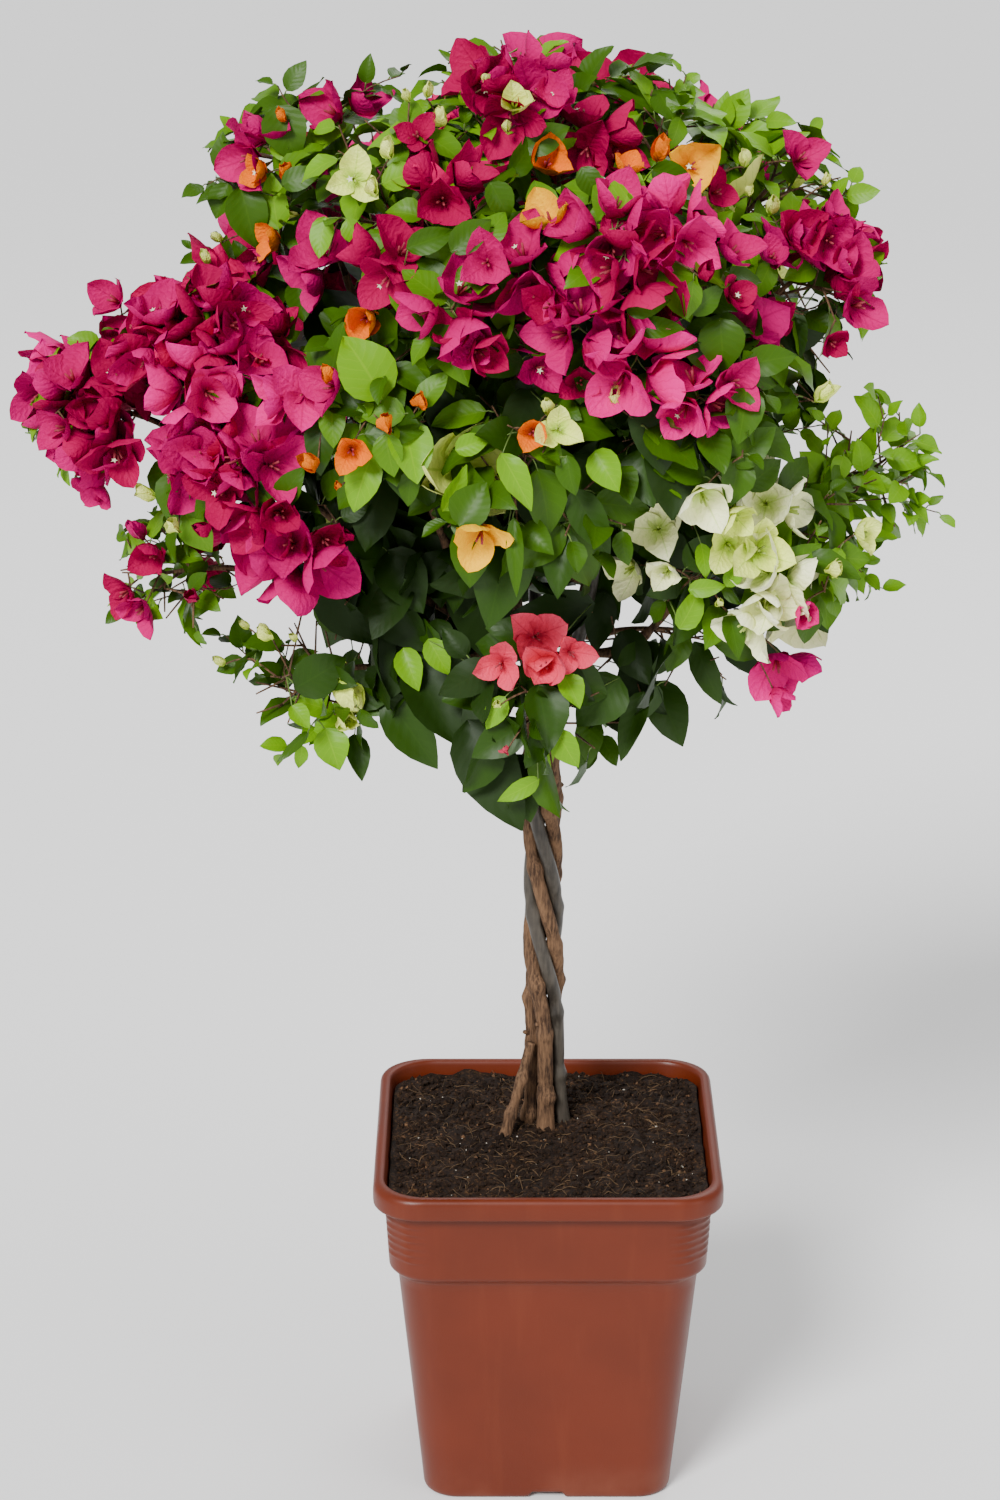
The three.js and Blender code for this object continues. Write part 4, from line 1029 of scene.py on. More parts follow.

# Flowers that show in the front view: their hue, where they are (across and down) and how wide (half width).
# A crimson spray's darker hue is partly painted shade, a pink one's paler hue partly painted light.
SPRAYS = [
    ("crimson", 482, 73, 35), ("magenta", 526, 70, 37), ("crimson", 508, 96, 34), ("magenta", 560, 90, 24),
    ("crimson", 440, 178, 36), ("crimson", 600, 128, 36), ("crimson", 612, 152, 30),
    ("magenta", 345, 100, 34), ("magenta", 248, 140, 32), ("magenta", 262, 126, 24),
    ("magenta", 252, 258, 20), ("magenta", 310, 265, 34), ("crimson", 380, 258, 36),
    ("crimson", 416, 130, 20), ("magenta", 105, 297, 24), ("magenta", 140, 335, 42),
    ("crimson", 205, 318, 42), ("magenta", 232, 300, 32), ("crimson", 282, 340, 34),
    ("magenta", 57, 385, 32), ("crimson", 106, 386, 34), ("pink", 180, 392, 44), ("magenta", 238, 360, 36),
    ("pink", 285, 394, 34), ("magenta", 330, 386, 26), ("magenta", 56, 430, 24), ("crimson", 96, 440, 38),
    ("magenta", 92, 492, 22), ("magenta", 178, 462, 42), ("magenta", 246, 462, 44),
    ("crimson", 214, 492, 30), ("crimson", 266, 520, 34), ("magenta", 290, 572, 48),
    ("crimson", 320, 548, 26), ("crimson", 150, 553, 24), ("magenta", 134, 538, 16),
    ("crimson", 118, 596, 22), ("magenta", 136, 612, 24), ("crimson", 190, 605, 13),
    ("crimson", 203, 536, 14), ("crimson", 345, 546, 15), ("magenta", 447, 306, 40),
    ("magenta", 488, 258, 28), ("crimson", 466, 346, 34), ("pink", 474, 352, 22), ("magenta", 540, 266, 40),
    ("magenta", 612, 222, 46), ("crimson", 628, 256, 36), ("pink", 684, 220, 42), ("magenta", 578, 330, 38),
    ("crimson", 548, 306, 28), ("magenta", 540, 372, 24), ("pink", 640, 368, 48), ("pink", 700, 396, 36),
    ("magenta", 736, 380, 26), ("crimson", 578, 388, 18), ("magenta", 738, 252, 28),
    ("magenta", 774, 256, 18), ("crimson", 740, 298, 21), ("crimson", 708, 278, 14),
    ("crimson", 778, 316, 20), ("magenta", 806, 152, 26), ("crimson", 800, 228, 30),
    ("magenta", 840, 226, 34), ("magenta", 858, 268, 30), ("magenta", 866, 306, 28),
    ("crimson", 836, 344, 18), ("crimson", 720, 190, 20), ("pink", 806, 614, 18), ("pink", 790, 672, 33),
    ("pink", 778, 700, 20), ("coral", 500, 668, 24), ("coral", 534, 642, 28), ("coral", 548, 668, 28),
    ("coral", 572, 656, 18), ("coral", 506, 756, 9), ("white", 706, 502, 30), ("white", 656, 534, 30),
    ("white", 630, 576, 25), ("white", 668, 574, 22), ("cream", 736, 520, 26), ("cream", 730, 546, 24),
    ("white", 782, 506, 33), ("cream", 762, 556, 30), ("white", 784, 590, 39), ("white", 766, 622, 34),
    ("cream", 866, 536, 20), ("cream", 838, 578, 16), ("cream", 826, 402, 16), ("cream", 347, 174, 24),
    ("cream", 386, 154, 14), ("cream", 369, 193, 12), ("cream", 514, 102, 17), ("cream", 506, 130, 9),
    ("cream", 484, 83, 10), ("cream", 440, 120, 13), ("cream", 426, 92, 10), ("cream", 367, 72, 9),
    ("cream", 216, 242, 9), ("cream", 204, 260, 9), ("cream", 146, 500, 14), ("cream", 170, 535, 13),
    ("cream", 264, 641, 13), ("cream", 244, 629, 6), ("cream", 293, 642, 6), ("cream", 219, 666, 8),
    ("cream", 559, 428, 20), ("cream", 548, 412, 12), ("cream", 615, 408, 16), ("cream", 751, 164, 11),
    ("cream", 750, 193, 8), ("cream", 828, 183, 8), ("cream", 773, 208, 13), ("cream", 719, 608, 8),
    ("cream", 497, 710, 8), ("cream", 408, 96, 9), ("orange", 258, 168, 20), ("orange", 282, 174, 14),
    ("orange", 282, 117, 9), ("orange", 272, 240, 20), ("orange", 356, 317, 27), ("orange", 325, 380, 14),
    ("orange", 418, 406, 15), ("orange", 548, 164, 25), ("amber", 548, 218, 30), ("orange", 627, 167, 18),
    ("orange", 660, 151, 16), ("amber", 697, 160, 30), ("orange", 345, 452, 24), ("orange", 310, 472, 16),
    ("orange", 385, 434, 16), ("amber", 477, 536, 28), ("orange", 533, 429, 20), ("orange", 336, 490, 6),
]

# Shoots that stand clear in the front view: how deep they lie, the mass that they leave, their leaves (tone,
# length), and the points that they pass through.
ARCHES = [
    (-0.020, "right_arching", "bright", 0.027, [(736, 560), (800, 520), (860, 496), (936, 512)]),
    (-0.030, "right_arching", "bright", 0.026, [(760, 520), (836, 480), (872, 462), (920, 434)]),
    (-0.010, "right_arching", "bright", 0.025, [(720, 480), (752, 440), (792, 430), (828, 424)]),
    (-0.040, "right_arching", "bright", 0.024, [(820, 500), (826, 460), (828, 424)]),
    (-0.035, "right_arching", "bright", 0.026, [(850, 500), (872, 460), (884, 420), (878, 396)]),
    (-0.050, "right_white", "bright", 0.027, [(740, 620), (800, 570), (850, 560), (876, 590)]),
    (0.000, "right_top", "bright", 0.022, [(672, 150), (676, 112), (686, 76)]),
    (0.005, "right_top", "bright", 0.028, [(690, 160), (730, 130), (762, 122), (776, 140)]),
    (-0.010, "top_right", "mid", 0.036, [(560, 110), (600, 82), (640, 76), (664, 92)]),
    (-0.020, "top_left", "mid", 0.024, [(300, 120), (284, 98), (278, 86)]),
    (-0.020, "top_left", "mid", 0.026, [(340, 110), (372, 86), (400, 76)]),
    (-0.030, "top_left", "mid", 0.026, [(250, 200), (222, 178), (208, 184)]),
    (-0.030, "top_left", "mid", 0.022, [(270, 290), (236, 270), (206, 256), (196, 254)]),
    (-0.040, "low_left_spray", "mid", 0.026, [(320, 700), (290, 694), (256, 664), (226, 636)]),
    (-0.040, "low_left_spray", "mid", 0.022, [(292, 696), (284, 672), (288, 646)]),
    (-0.045, "low_left_spray", "bright", 0.028, [(372, 712), (330, 716), (312, 732), (284, 752)]),
    (-0.044, "left_small", "mid", 0.020, [(246, 586), (192, 590), (150, 602), (126, 606)]),
    (-0.044, "left_small", "mid", 0.020, [(230, 560), (180, 552), (150, 540)]),
    (-0.060, "low_front", "bright", 0.028, [(548, 700), (536, 730), (524, 752), (510, 786)]),
    (-0.050, "low_front", "mid", 0.034, [(560, 690), (590, 710), (600, 742)]),
    (-0.030, "right_magenta", "mid", 0.026, [(800, 312), (836, 298), (834, 322)]),
    (-0.020, "right_magenta", "bright", 0.024, [(800, 220), (836, 200), (850, 188)]),
]

# Single leaves that show in the front view: their tone, middle, length and heading (degrees, 0 to the right,
# 90 up), and their width over their length. The tone paints light and shade: bright where the head is lit,
# dark and deep where it is in shade.
SHOWING_LEAVES = [
    ("bright", 365, 368, 72, 120, 0.80), ("bright", 410, 450, 62, -75, 0.72),
    ("bright", 362, 482, 58, -110, 0.62), ("mid", 286, 132, 56, -70, 0.75),
    ("mid", 248, 216, 60, -75, 0.66), ("mid", 222, 200, 36, -110, 0.7), ("mid", 300, 178, 40, 20, 0.6),
    ("mid", 545, 138, 50, 25, 0.6), ("mid", 524, 155, 52, 55, 0.5), ("bright", 322, 236, 40, -100, 0.6),
    ("bright", 354, 232, 30, -60, 0.7), ("bright", 470, 95, 28, 60, 0.7), ("mid", 722, 344, 52, -85, 0.85),
    ("mid", 708, 300, 44, 40, 0.5), ("mid", 646, 304, 44, 10, 0.6), ("mid", 660, 328, 44, 5, 0.5),
    ("dark", 796, 332, 48, -80, 0.5), ("mid", 770, 360, 50, 10, 0.6), ("bright", 472, 444, 36, 20, 0.6),
    ("bright", 516, 480, 62, -60, 0.45), ("bright", 606, 470, 46, -60, 0.7),
    ("mid", 570, 475, 40, -80, 0.6), ("bright", 455, 490, 50, 60, 0.4), ("mid", 472, 505, 50, 60, 0.8),
    ("mid", 515, 555, 76, -88, 0.22), ("dark", 500, 574, 100, -100, 0.6), ("dark", 434, 560, 90, -80, 0.5),
    ("deep", 410, 540, 90, -75, 0.5), ("deep", 480, 600, 110, -85, 0.6), ("dark", 384, 560, 76, -80, 0.6),
    ("dark", 455, 580, 60, -90, 0.5), ("deep", 346, 610, 84, -50, 0.6), ("deep", 400, 650, 90, -100, 0.6),
    ("dark", 376, 692, 56, 20, 0.6), ("deep", 432, 700, 90, -60, 0.6), ("dark", 410, 730, 86, -55, 0.5),
    ("dark", 320, 674, 60, 30, 0.7), ("bright", 332, 748, 42, -70, 0.8), ("bright", 300, 716, 28, -50, 0.7),
    ("mid", 294, 746, 42, -135, 0.25), ("dark", 358, 756, 46, -80, 0.5), ("deep", 492, 772, 118, -65, 0.52),
    ("bright", 410, 668, 44, -70, 0.6), ("bright", 438, 656, 40, -60, 0.6),
    ("deep", 556, 610, 80, -170, 0.5), ("dark", 600, 700, 62, -130, 0.8), ("dark", 668, 712, 68, -65, 0.6),
    ("dark", 632, 724, 70, -110, 0.36), ("dark", 706, 672, 66, -70, 0.4), ("dark", 640, 656, 50, 30, 0.6),
    ("mid", 676, 650, 44, -110, 0.6), ("bright", 690, 610, 44, 60, 0.6), ("bright", 734, 574, 30, 60, 0.6),
    ("mid", 734, 634, 48, -75, 0.45), ("mid", 832, 566, 56, -15, 0.5), ("dark", 818, 616, 36, -60, 0.6),
    ("deep", 670, 470, 90, -85, 0.6), ("deep", 630, 560, 90, -70, 0.5), ("dark", 590, 520, 70, -60, 0.5),
    ("deep", 660, 430, 80, -90, 0.7), ("bright", 566, 748, 44, -60, 0.6),
    ("bright", 520, 790, 46, -150, 0.4), ("bright", 572, 690, 36, -60, 0.7),
    ("bright", 496, 712, 36, -120, 0.6), ("dark", 606, 590, 60, -70, 0.5), ("dark", 420, 480, 56, -60, 0.6),
    ("bright", 704, 560, 34, -80, 0.5), ("bright", 706, 588, 36, 5, 0.5), ("dark", 560, 560, 70, -95, 0.5),
    ("deep", 450, 420, 70, -70, 0.6), ("deep", 520, 420, 70, -110, 0.6), ("deep", 600, 620, 60, -100, 0.5),
    ("mid", 672, 176, 44, -20, 0.6), ("mid", 590, 182, 34, -60, 0.7), ("mid", 430, 240, 50, 20, 0.5),
    ("mid", 470, 236, 50, 40, 0.6), ("mid", 500, 200, 40, -60, 0.7), ("mid", 300, 300, 40, -80, 0.7),
]


class Growth:
    """What has grown: twigs as paths with radii, leaves and bracts as rows of numbers by tone or hue."""

    def __init__(self):
        self.twigs = []
        self.stalks = []
        self.leaves = {}
        self.bracts = {}
        self.tubes = {}
        self.nodes = {}

    def add_leaf(self, tone, root, seat, direction, face, blade, width, droop, fold):
        """A leaf: where its blade sits, its heading and face, its size and shape, and its stalk's root."""
        self.leaves.setdefault(tone, []).append(
            (*seat, *direction, *face, blade, width, droop, fold, *root))

    def add_shoot(self, path, radius, tip_radius):
        """A twig that nothing leaves from."""
        self.twigs.append((along(path, np.linspace(0, 1, TWIG_POINTS)), radius, tip_radius))

    def add_twig(self, mass, path, radius, tip_radius):
        """A twig, kept with its mass so that later sprays can leave from it."""
        self.add_shoot(path, radius, tip_radius)
        self.nodes.setdefault(mass, []).append(along(path, np.linspace(0.2, 0.95, 5)))


def tone_at(place, mass, rng):
    """How bright leaves are painted: lighter out towards the light and the top as painted light, deep inside
    and underneath as painted shade, with a little tone at random.
    """
    out = norm((place - HEAD_MIDDLE) / HEAD_RADIUS)
    up = (place[2] - HEAD_MIDDLE[2]) / HEAD_RADIUS
    value = MASSES[mass][4][1] + 0.6 * (out - 0.85) + 0.15 * up + rng.normal(0, 0.10)
    return TONES[int(np.clip(value * 5, 0, 4))]


def kept_in(mass, root, direction, length, least=0.45):
    """A length cut back so that its end stays within the mass's reach."""
    over = norm(root + direction * length - middle_of(mass)) - MASSES[mass][1]
    return max(length - max(over, 0) * 1.15, least * length)


def leaves_on(growth, mass, path, rng, start):
    """Leaves at a twig's nodes, each on a short stalk and turned on by the golden angle, their faces up and
    out to the light."""
    size, _, hang = MASSES[mass][4]
    gap = SITTING.gap * (size / SITTING.usual) ** SITTING.thinning
    number = max(2, int(lengths_along(path)[-1] * (1 - start) / gap))
    phase = rng.uniform(0, TURN)
    shares = lerp(start, 1.0, (np.arange(number) + 0.7) / number)
    tone = tone_at(path[-1], mass, rng)
    for k, (share, root) in enumerate(zip(shares, along(path, shares))):
        opening = math.radians(rng.uniform(*SITTING.opening))
        out = direction_around(tangent_at(path, share), opening, phase + k * GOLDEN_ANGLE)
        blade = size * rng.uniform(*SITTING.size) * lerp(1.0, SITTING.tip_size, share)
        seat = root + out * (SITTING.stalk * blade)
        lift = rng.uniform(SITTING.lowest - hang, SITTING.highest - SITTING.hang * hang)
        direction = unit(out + UP * lift)
        blade = kept_in(mass, seat, direction, blade)
        light = SITTING.upward * UP + SITTING.outward * unit(seat - HEAD_MIDDLE)
        face = unit(light + rng.normal(0, SITTING.scatter, 3))
        growth.add_leaf(tone, root, seat, direction, face, blade, rng.uniform(*SITTING.width),
                        rng.uniform(*SITTING.droop), rng.uniform(*SITTING.fold))


def add_flower(growth, hue, root, axis, size, opening, rng):
    """A flower: three bracts a third of a turn apart round one axis, their hollow sides in."""
    turn = rng.uniform(0, TURN)
    bud = opening < FLOWER.bud_below
    for k in range(3):
        lean = math.radians(opening + rng.uniform(-FLOWER.lean, FLOWER.lean))
        direction = direction_around(axis, lean, turn + k * TURN / 3)
        face = unit(axis - axis.dot(direction) * direction)
        shape = BUD_SHAPE if bud else [rng.uniform(low, high) for low, high in BRACT_SHAPE]
        row = (*root, *direction, *face, size * rng.uniform(*FLOWER.size), *shape)
        growth.bracts.setdefault(hue, []).append(row)
    if not bud:
        shade = "lime" if hue in ("white", "cream") else "red"
        growth.tubes.setdefault(shade, []).append((*root, *axis, size * FLOWER.tube))


def flowers_on(growth, mass, path, hue, rng, number, size):
    """A cluster at a twig's tip: flowers on short stalks, opened out from the tip by the golden angle."""
    outward = unit(path[-1] - HEAD_MIDDLE)
    axis = unit(tangent_at(path, 1.0) + CLUSTER.outward * outward)
    phase = rng.uniform(0, TURN)
    for k in range(number):
        spread = 0 if number == 1 else lerp(*CLUSTER.spread, k / (number - 1))
        out = direction_around(axis, math.radians(spread), phase + k * GOLDEN_ANGLE)
        base = along(path, 1 - CLUSTER.along * k / number)
        stalk = rng.uniform(*CLUSTER.stalk) * (0.6 + 0.5 * k / number)
        room = CLUSTER.room * size
        root = base + out * max(kept_in(mass, base, out, stalk + room, 0.2) - room, CLUSTER.deepest)
        bud = hue == "cream" and rng.uniform() < CLUSTER.buds
        grown = size * rng.uniform(*(CLUSTER.small if bud or hue == "orange" else CLUSTER.large))
        facing = unit(out + CLUSTER.facing * outward + rng.normal(0, CLUSTER.scatter, 3))
        opening = rng.uniform(*(CLUSTER.bud_opening if bud else CLUSTER.opening))
        add_flower(growth, hue, root, facing, grown, opening, rng)
        growth.stalks.append((base, lerp(base, root, 0.55), root))


def hue_for(bears, rng):
    """A colour drawn from a kind's own, by how often each comes."""
    names, weights = zip(*bears.hues.items())
    return names[int(rng.choice(len(names), p=np.array(weights) / sum(weights)))]


def grow_mass(growth, mass, feeder, seed):
    """One mass: its stem, its main twigs, side twigs on those, and leaves and flowers on all of them."""
    bears = BEARS[MASSES[mass][2]]
    rng = np.random.default_rng(seed)
    stem, mains = grow_twigs(mass, feeder, seed)
    growth.add_twig(mass, stem, TWIG.stem_radius * 0.8, TWIG.main_radius)
    for root, direction, length, _ in mains:
        main = bowed(root, direction, length, rng.uniform(*MAIN_LIFT))
        growth.add_twig(mass, main, TWIG.main_radius, TWIG.tip_radius)
        shoots = [(main, LEAFY_FROM.main)]
        phase = rng.uniform(0, TURN)
        for k in range(SIDE_TWIG.number):
            share = lerp(0.15, 0.88, (k + 0.5) / SIDE_TWIG.number)
            base = along(main, share)
            opening = SIDE_TWIG.opening + rng.uniform(-SIDE_TWIG.turn, SIDE_TWIG.turn)
            out = direction_around(tangent_at(main, share), math.radians(opening), phase + k * GOLDEN_ANGLE)
            run = min(SIDE_TWIG.reach * distance_to_reach(mass, base, out), SIDE_TWIG.longest)
            side = bowed(base, out, max(run, SIDE_TWIG.shortest), rng.uniform(*SIDE_TWIG.lift))
            growth.add_twig(mass, side, TWIG.side_radius, TWIG.tip_radius)
            shoots.append((side, LEAFY_FROM.side))
        for path, start in shoots:
            leaves_on(growth, mass, path, rng, start)
            share = bears.behind if path[-1][1] > BEHIND else bears.front
            share, size = FLOWERING.get(mass, (share, FLOWER_SIZE))
            if rng.uniform() < share:
                flowers_on(growth, mass, path, hue_for(bears, rng), rng, int(rng.integers(2, 4)), size)


def grow_inner_leaves(growth, feeders, rng):
    """Short leafy shoots up the inside of the head, on the limbs that lead to the masses: large leaves that
    hang, in the deep and dark tones that paint the shade inside the head."""
    for path, _ in feeders.values():
        length = lengths_along(path)[-1]
        first = INSIDE.first if length < INSIDE.long_limb else INSIDE.first_on_long
        for at in np.arange(first, INSIDE.last, INSIDE.gap / length):
            base = along(path, at)
            turn = rng.uniform(0, TURN)
            out = direction_around(tangent_at(path, at), math.radians(INSIDE.opening), turn)
            shoot = bowed(base, out, rng.uniform(*INSIDE.length), INSIDE.lift)
            inner = norm(shoot[-1] - HEAD_MIDDLE) < INSIDE.reach * HEAD_RADIUS
            if not inner or shoot[-1][2] < INSIDE.lowest_z:
                continue
            growth.twigs.append((shoot, TWIG.side_radius, TWIG.tip_radius))
            for k in range(3):
                root = along(shoot, lerp(0.5, 1, k / 2))
                away = direction_around(out, math.radians(INSIDE.leaf_opening), k * GOLDEN_ANGLE)
                away = unit(away + UP * rng.uniform(*INSIDE.hang))
                face = unit(0.5 * UP + unit(base - HEAD_MIDDLE) + rng.normal(0, 0.3, 3))
                # painted shade: the inner leaves are dealt the deep tone, or else the dark one
                tone = "deep" if rng.uniform() < INSIDE.deep else "dark"
                growth.add_leaf(tone, root, root + away * INSIDE.stalk, away, face,
                                rng.uniform(*INSIDE.blade), rng.uniform(*INSIDE.width),
                                rng.uniform(*INSIDE.droop), INSIDE.fold)


def nearest_node(growth, mass, spot):
    """The point of a mass's twigs that is nearest to a spot. One that isn't deeper in the mass, or is right
    beside the spot, counts as farther off."""
    points = np.concatenate(growth.nodes[mass])
    middle = middle_of(mass)
    away = norm(points - spot, axis=1)
    shallow = norm(points - middle, axis=1) > norm(spot - middle) - 0.008
    return points[np.argmin(away + 0.2 * shallow + 0.05 * (away < 0.010))]


def in_opening(spots):
    """Whether spots lie in an opening of the front view: their miss from its line of sight against its half
    width at their depth."""
    inside = np.zeros(len(spots), bool)
    for across, down, width in OPENINGS:
        eye, ahead = sight_line(across, down)
        depth = (spots - eye) @ ahead
        miss = norm(spots - eye - depth[:, None] * ahead, axis=1)
        inside |= miss < (width + OPENING_MARGIN) / CAMERA.focal * depth
    return inside


def open_up(growth):
    """Whole flowers of the masses that would close an opening are left out, with their tubes and stalks."""
    gone = set()
    for hue, rows in growth.bracts.items():
        data = np.array(rows)
        middles = data[:, :3] + unit(data[:, 3:6]) * data[:, 9:10] * 0.5
        closes = np.repeat(in_opening(middles).reshape(-1, 3).any(axis=1), 3)
        gone |= {row[:3] for row, out in zip(rows, closes) if out}
        growth.bracts[hue] = [row for row, out in zip(rows, closes) if not out]
    for shade, rows in growth.tubes.items():
        growth.tubes[shade] = [row for row in rows if row[:3] not in gone]
    growth.stalks = [stalk for stalk in growth.stalks if tuple(stalk[2]) not in gone]


def clear_the_way(growth):
    """Leaves that would hide what shows in the front view are left out: those whose middle is nearer than its
    half width to a line of sight, and no deeper than what shows there. So are leaves that would hang below
    the head's underside or close an opening."""
    eye = np.array(CAMERA.place)
    shown = [(a, d, w, SHOWS.flowers_at) for _, a, d, w in SPRAYS]
    shown += [(a, d, SHOWS.leaf_half * n, OUTER) for tone, a, d, n, _, _ in SHOWING_LEAVES
              if tone not in INSIDE_TONES]
    lines = []
    for across, down, width, share in shown:
        spot = front_spot(across, down, share)[1]
        ahead = sight_line(across, down)[1]
        depth = (spot - eye).dot(ahead)
        lines.append((*ahead, depth, width / CAMERA.focal * depth))
    lines = np.array(lines)
    low, middle, clear = UNDERSIDE.level, UNDERSIDE.middle, UNDERSIDE.clear
    for tone, rows in growth.leaves.items():
        data = np.array(rows)
        onward = unit(data[:, 3:6]) * data[:, 9:10]
        middles = data[:, :3] + onward * 0.5 - eye
        depth = middles @ lines[:, :3].T
        miss = np.sqrt(np.maximum((middles**2).sum(1, keepdims=True) - depth**2, 0))
        beside = miss < SHOWS.width * lines[:, 4] + SHOWS.leaf_width * data[:, 9:10]
        hides = beside & (depth < lines[:, 3] + SHOWS.behind)
        tips = data[:, :3] + onward * 0.8
        hangs = (tips[:, 2] < low) & (np.abs(tips[:, 0] - middle) > clear)
        left_out = hides.any(axis=1) | hangs | in_opening(middles + eye)
        growth.leaves[tone] = [row for row, out in zip(rows, left_out) if not out]
    low += UNDERSIDE.twigs_higher
    growth.twigs = [t for t in growth.twigs if t[0][-1][2] > low or abs(t[0][-1][0] - middle) < clear]


def grow_sprays(growth, rng):
    """The flowers that show in the front view: each on a twig from the nearest node of the mass behind it.
    Wide ones are clusters. Narrow ones are young flowers or buds, of their own width."""
    for hue, across, down, width in SPRAYS:
        young = width < SPRAY.young_below
        mass, spot = front_spot(across, down, SPRAY.clear_at if young or hue == "cream" else SPRAY.at)
        eye, ahead = sight_line(across, down)
        wide = width / CAMERA.focal * (spot - eye).dot(ahead)
        number = 1 + sum(width >= least for least in SPRAY.more_from)
        size = wide * (SPRAY.young_size if young else SPRAY.sizes[number - 1])
        size = float(np.clip(size, SPRAY.least_young if young else SPRAY.least, FLOWER_SIZE))
        outward = unit(unit(spot - middle_of(mass)) + unit(spot - HEAD_MIDDLE) - 0.5 * ahead)
        root = nearest_node(growth, mass, spot)
        end = spot - outward * size * 0.45
        path = bezier(root, lerp(root, end, 0.5) + UP * 0.12 * norm(end - root), end)
        growth.add_shoot(path, TWIG.side_radius * 0.8, TWIG.tip_radius)
        phase = rng.uniform(0, TURN)
        for k in range(number):
            lean = 0.0 if number == 1 else math.radians(38 + 14 * (number > 2))
            facing = direction_around(outward, lean, phase + k * TURN / number)
            spread = 0.0 if number == 1 else max(wide - 0.6 * size, 0.4 * wide)
            place = end + (facing - outward * 0.6) * spread
            facing = unit(facing + rng.normal(0, 0.18, 3))
            opening = rng.uniform(*(SPRAY.young_opening if young else SPRAY.opening))
            facing = unit(facing + 0.8 * UP) if young else facing
            base = along(path, 0.93 - 0.12 * k)
            add_flower(growth, hue, place, facing, size, opening, rng)
            growth.stalks.append((base, lerp(base, place, 0.5) - UP * 0.0006, place))
        for k in range(2 if width > 9 else 0):
            base = along(path, rng.uniform(0.35, 0.75))
            lean = math.radians(rng.uniform(82, 115))
            out = direction_around(outward, lean, rng.uniform(0, TURN))
            blade = MASSES[mass][4][0] * rng.uniform(0.6, 0.95)
            face = unit(outward + 0.7 * UP + rng.normal(0, 0.2, 3))
            tone = tone_at(spot, mass, rng)
            growth.add_leaf(tone, base, base + out * 0.004, out, face, kept_in(mass, base, out, blade),
                            rng.uniform(0.55, 0.7), 0.1, 0.15)


def grow_arches(growth, rng):
    """Long shoots that stand clear of the head, with small leaves all along them."""
    for depth, mass, tone, size, points in ARCHES:
        spots = np.array([view_spot(across, down, depth) for across, down in points])
        root = nearest_node(growth, mass, spots[0])
        path = smooth_path(np.vstack([root, spots]), 8)
        growth.add_shoot(path, TWIG.side_radius, TWIG.tip_radius * 0.8)
        number = int(lengths_along(path)[-1] / 0.0085)
        for k, share in enumerate(lerp(0.2, 1.0, (np.arange(number) + 1) / number)):
            base = along(path, share)
            opening = math.radians(rng.uniform(35, 62))
            out = direction_around(tangent_at(path, share), opening, k * GOLDEN_ANGLE)
            out = unit(out + UP * rng.uniform(-0.25, 0.15))
            face = unit(UP + rng.normal(0, 0.3, 3) + np.array([0, -0.7, 0]))
            blade = size * rng.uniform(0.65, 1.15) * lerp(1.05, 0.6, share**3)
            growth.add_leaf(tone, base, base + out * 0.004, out, face, blade, rng.uniform(0.56, 0.7),
                            rng.uniform(0, 0.2), rng.uniform(0.1, 0.4))


def grow_showing_leaves(growth, rng):
    """The single leaves that show in the front view, each on a stalk from the nearest node behind it."""
    pitch = math.radians(CAMERA.pitch)
    for tone, across, down, length, heading, width in SHOWING_LEAVES:
        mass, spot = front_spot(across, down, INNER if tone in INSIDE_TONES else OUTER)
        eye, ahead = sight_line(across, down)
        blade = length / CAMERA.focal * (spot - eye).dot(ahead)
        rightward, upward = math.cos(math.radians(heading)), math.sin(math.radians(heading))
        onward = np.array([rightward, upward * math.sin(pitch), upward * math.cos(pitch)])
        direction = unit(onward - 0.22 * ahead * rng.uniform(-0.5, 1.2))
        seat = spot - direction * blade * 0.5
        face = unit(-ahead + rng.normal(0, 0.22, 3))
        root = nearest_node(growth, mass, seat)
        growth.add_leaf(tone, root, seat, direction, face, blade * 1.08, width, rng.uniform(0.05, 0.22),
                        rng.uniform(0.1, 0.45))


# ---------------------------------------------------------------- leaves and bracts as meshes
def blades(rows, stations, across, base_power, tip_power, hollow):
    """Blades: each point is the root, plus the way along, less a droop with its square, plus the half width
    times the share across. The half width goes as the share along to one power times what is left to another,
    over its greatest value. The edges rise by the fold, straight up for a leaf and rounded for a bract."""
    data = np.array(rows, float)
    root, ahead, face = data[:, 0:3], unit(data[:, 3:6]), data[:, 6:9]
    length, width, droop, fold = data[:, 9], data[:, 10], data[:, 11], data[:, 12]
    face = unit(face - (face * ahead).sum(1, keepdims=True) * ahead)
    side = np.cross(face, ahead)
    u = np.asarray(stations)[None, :, None]
    v = np.asarray(across)[None, None, :]
    top = base_power / (base_power + tip_power)
    most = top**base_power * (1 - top) ** tip_power
    outline = np.maximum(u**base_power * (1 - u) ** tip_power / most, 0.02)
    number = len(data)
    size = length[:, None, None]
    half = 0.5 * width[:, None, None] * size * outline
    rise = np.abs(v) if not hollow else v**2
    phase = np.arange(number)[:, None, None] * 1.7
    wave = np.sin(8.0 * u + phase) * np.sign(v) + 0.8 * np.sin(14.0 * u + 2.3 * phase)
    ripple = wave * v**2 * (0.042 if hollow else 0.028) * size
    lift = fold[:, None, None] * rise * half + ripple - droop[:, None, None] * size * u**2
    cup = 0.10 * size * np.sin(np.pi * u) * (-1 if hollow else 0.3)
    onward = size * (u - 0.25 * np.abs(droop)[:, None, None] * u**3)
    points = (root[:, None, None] + ahead[:, None, None] * onward[..., None] * np.ones_like(v)[..., None]
              + side[:, None, None] * (half * v)[..., None] + face[:, None, None] * (lift + cup)[..., None])
    faces = repeated(grid_faces(len(stations), len(across)), number, len(stations) * len(across))
    map_u, map_v = np.broadcast_arrays((v + 1) / 2, u)
    uv = np.tile(np.stack([map_u[0], map_v[0]], axis=-1).reshape(-1, 2), (number, 1))
    return points.reshape(-1, 3), faces, uv


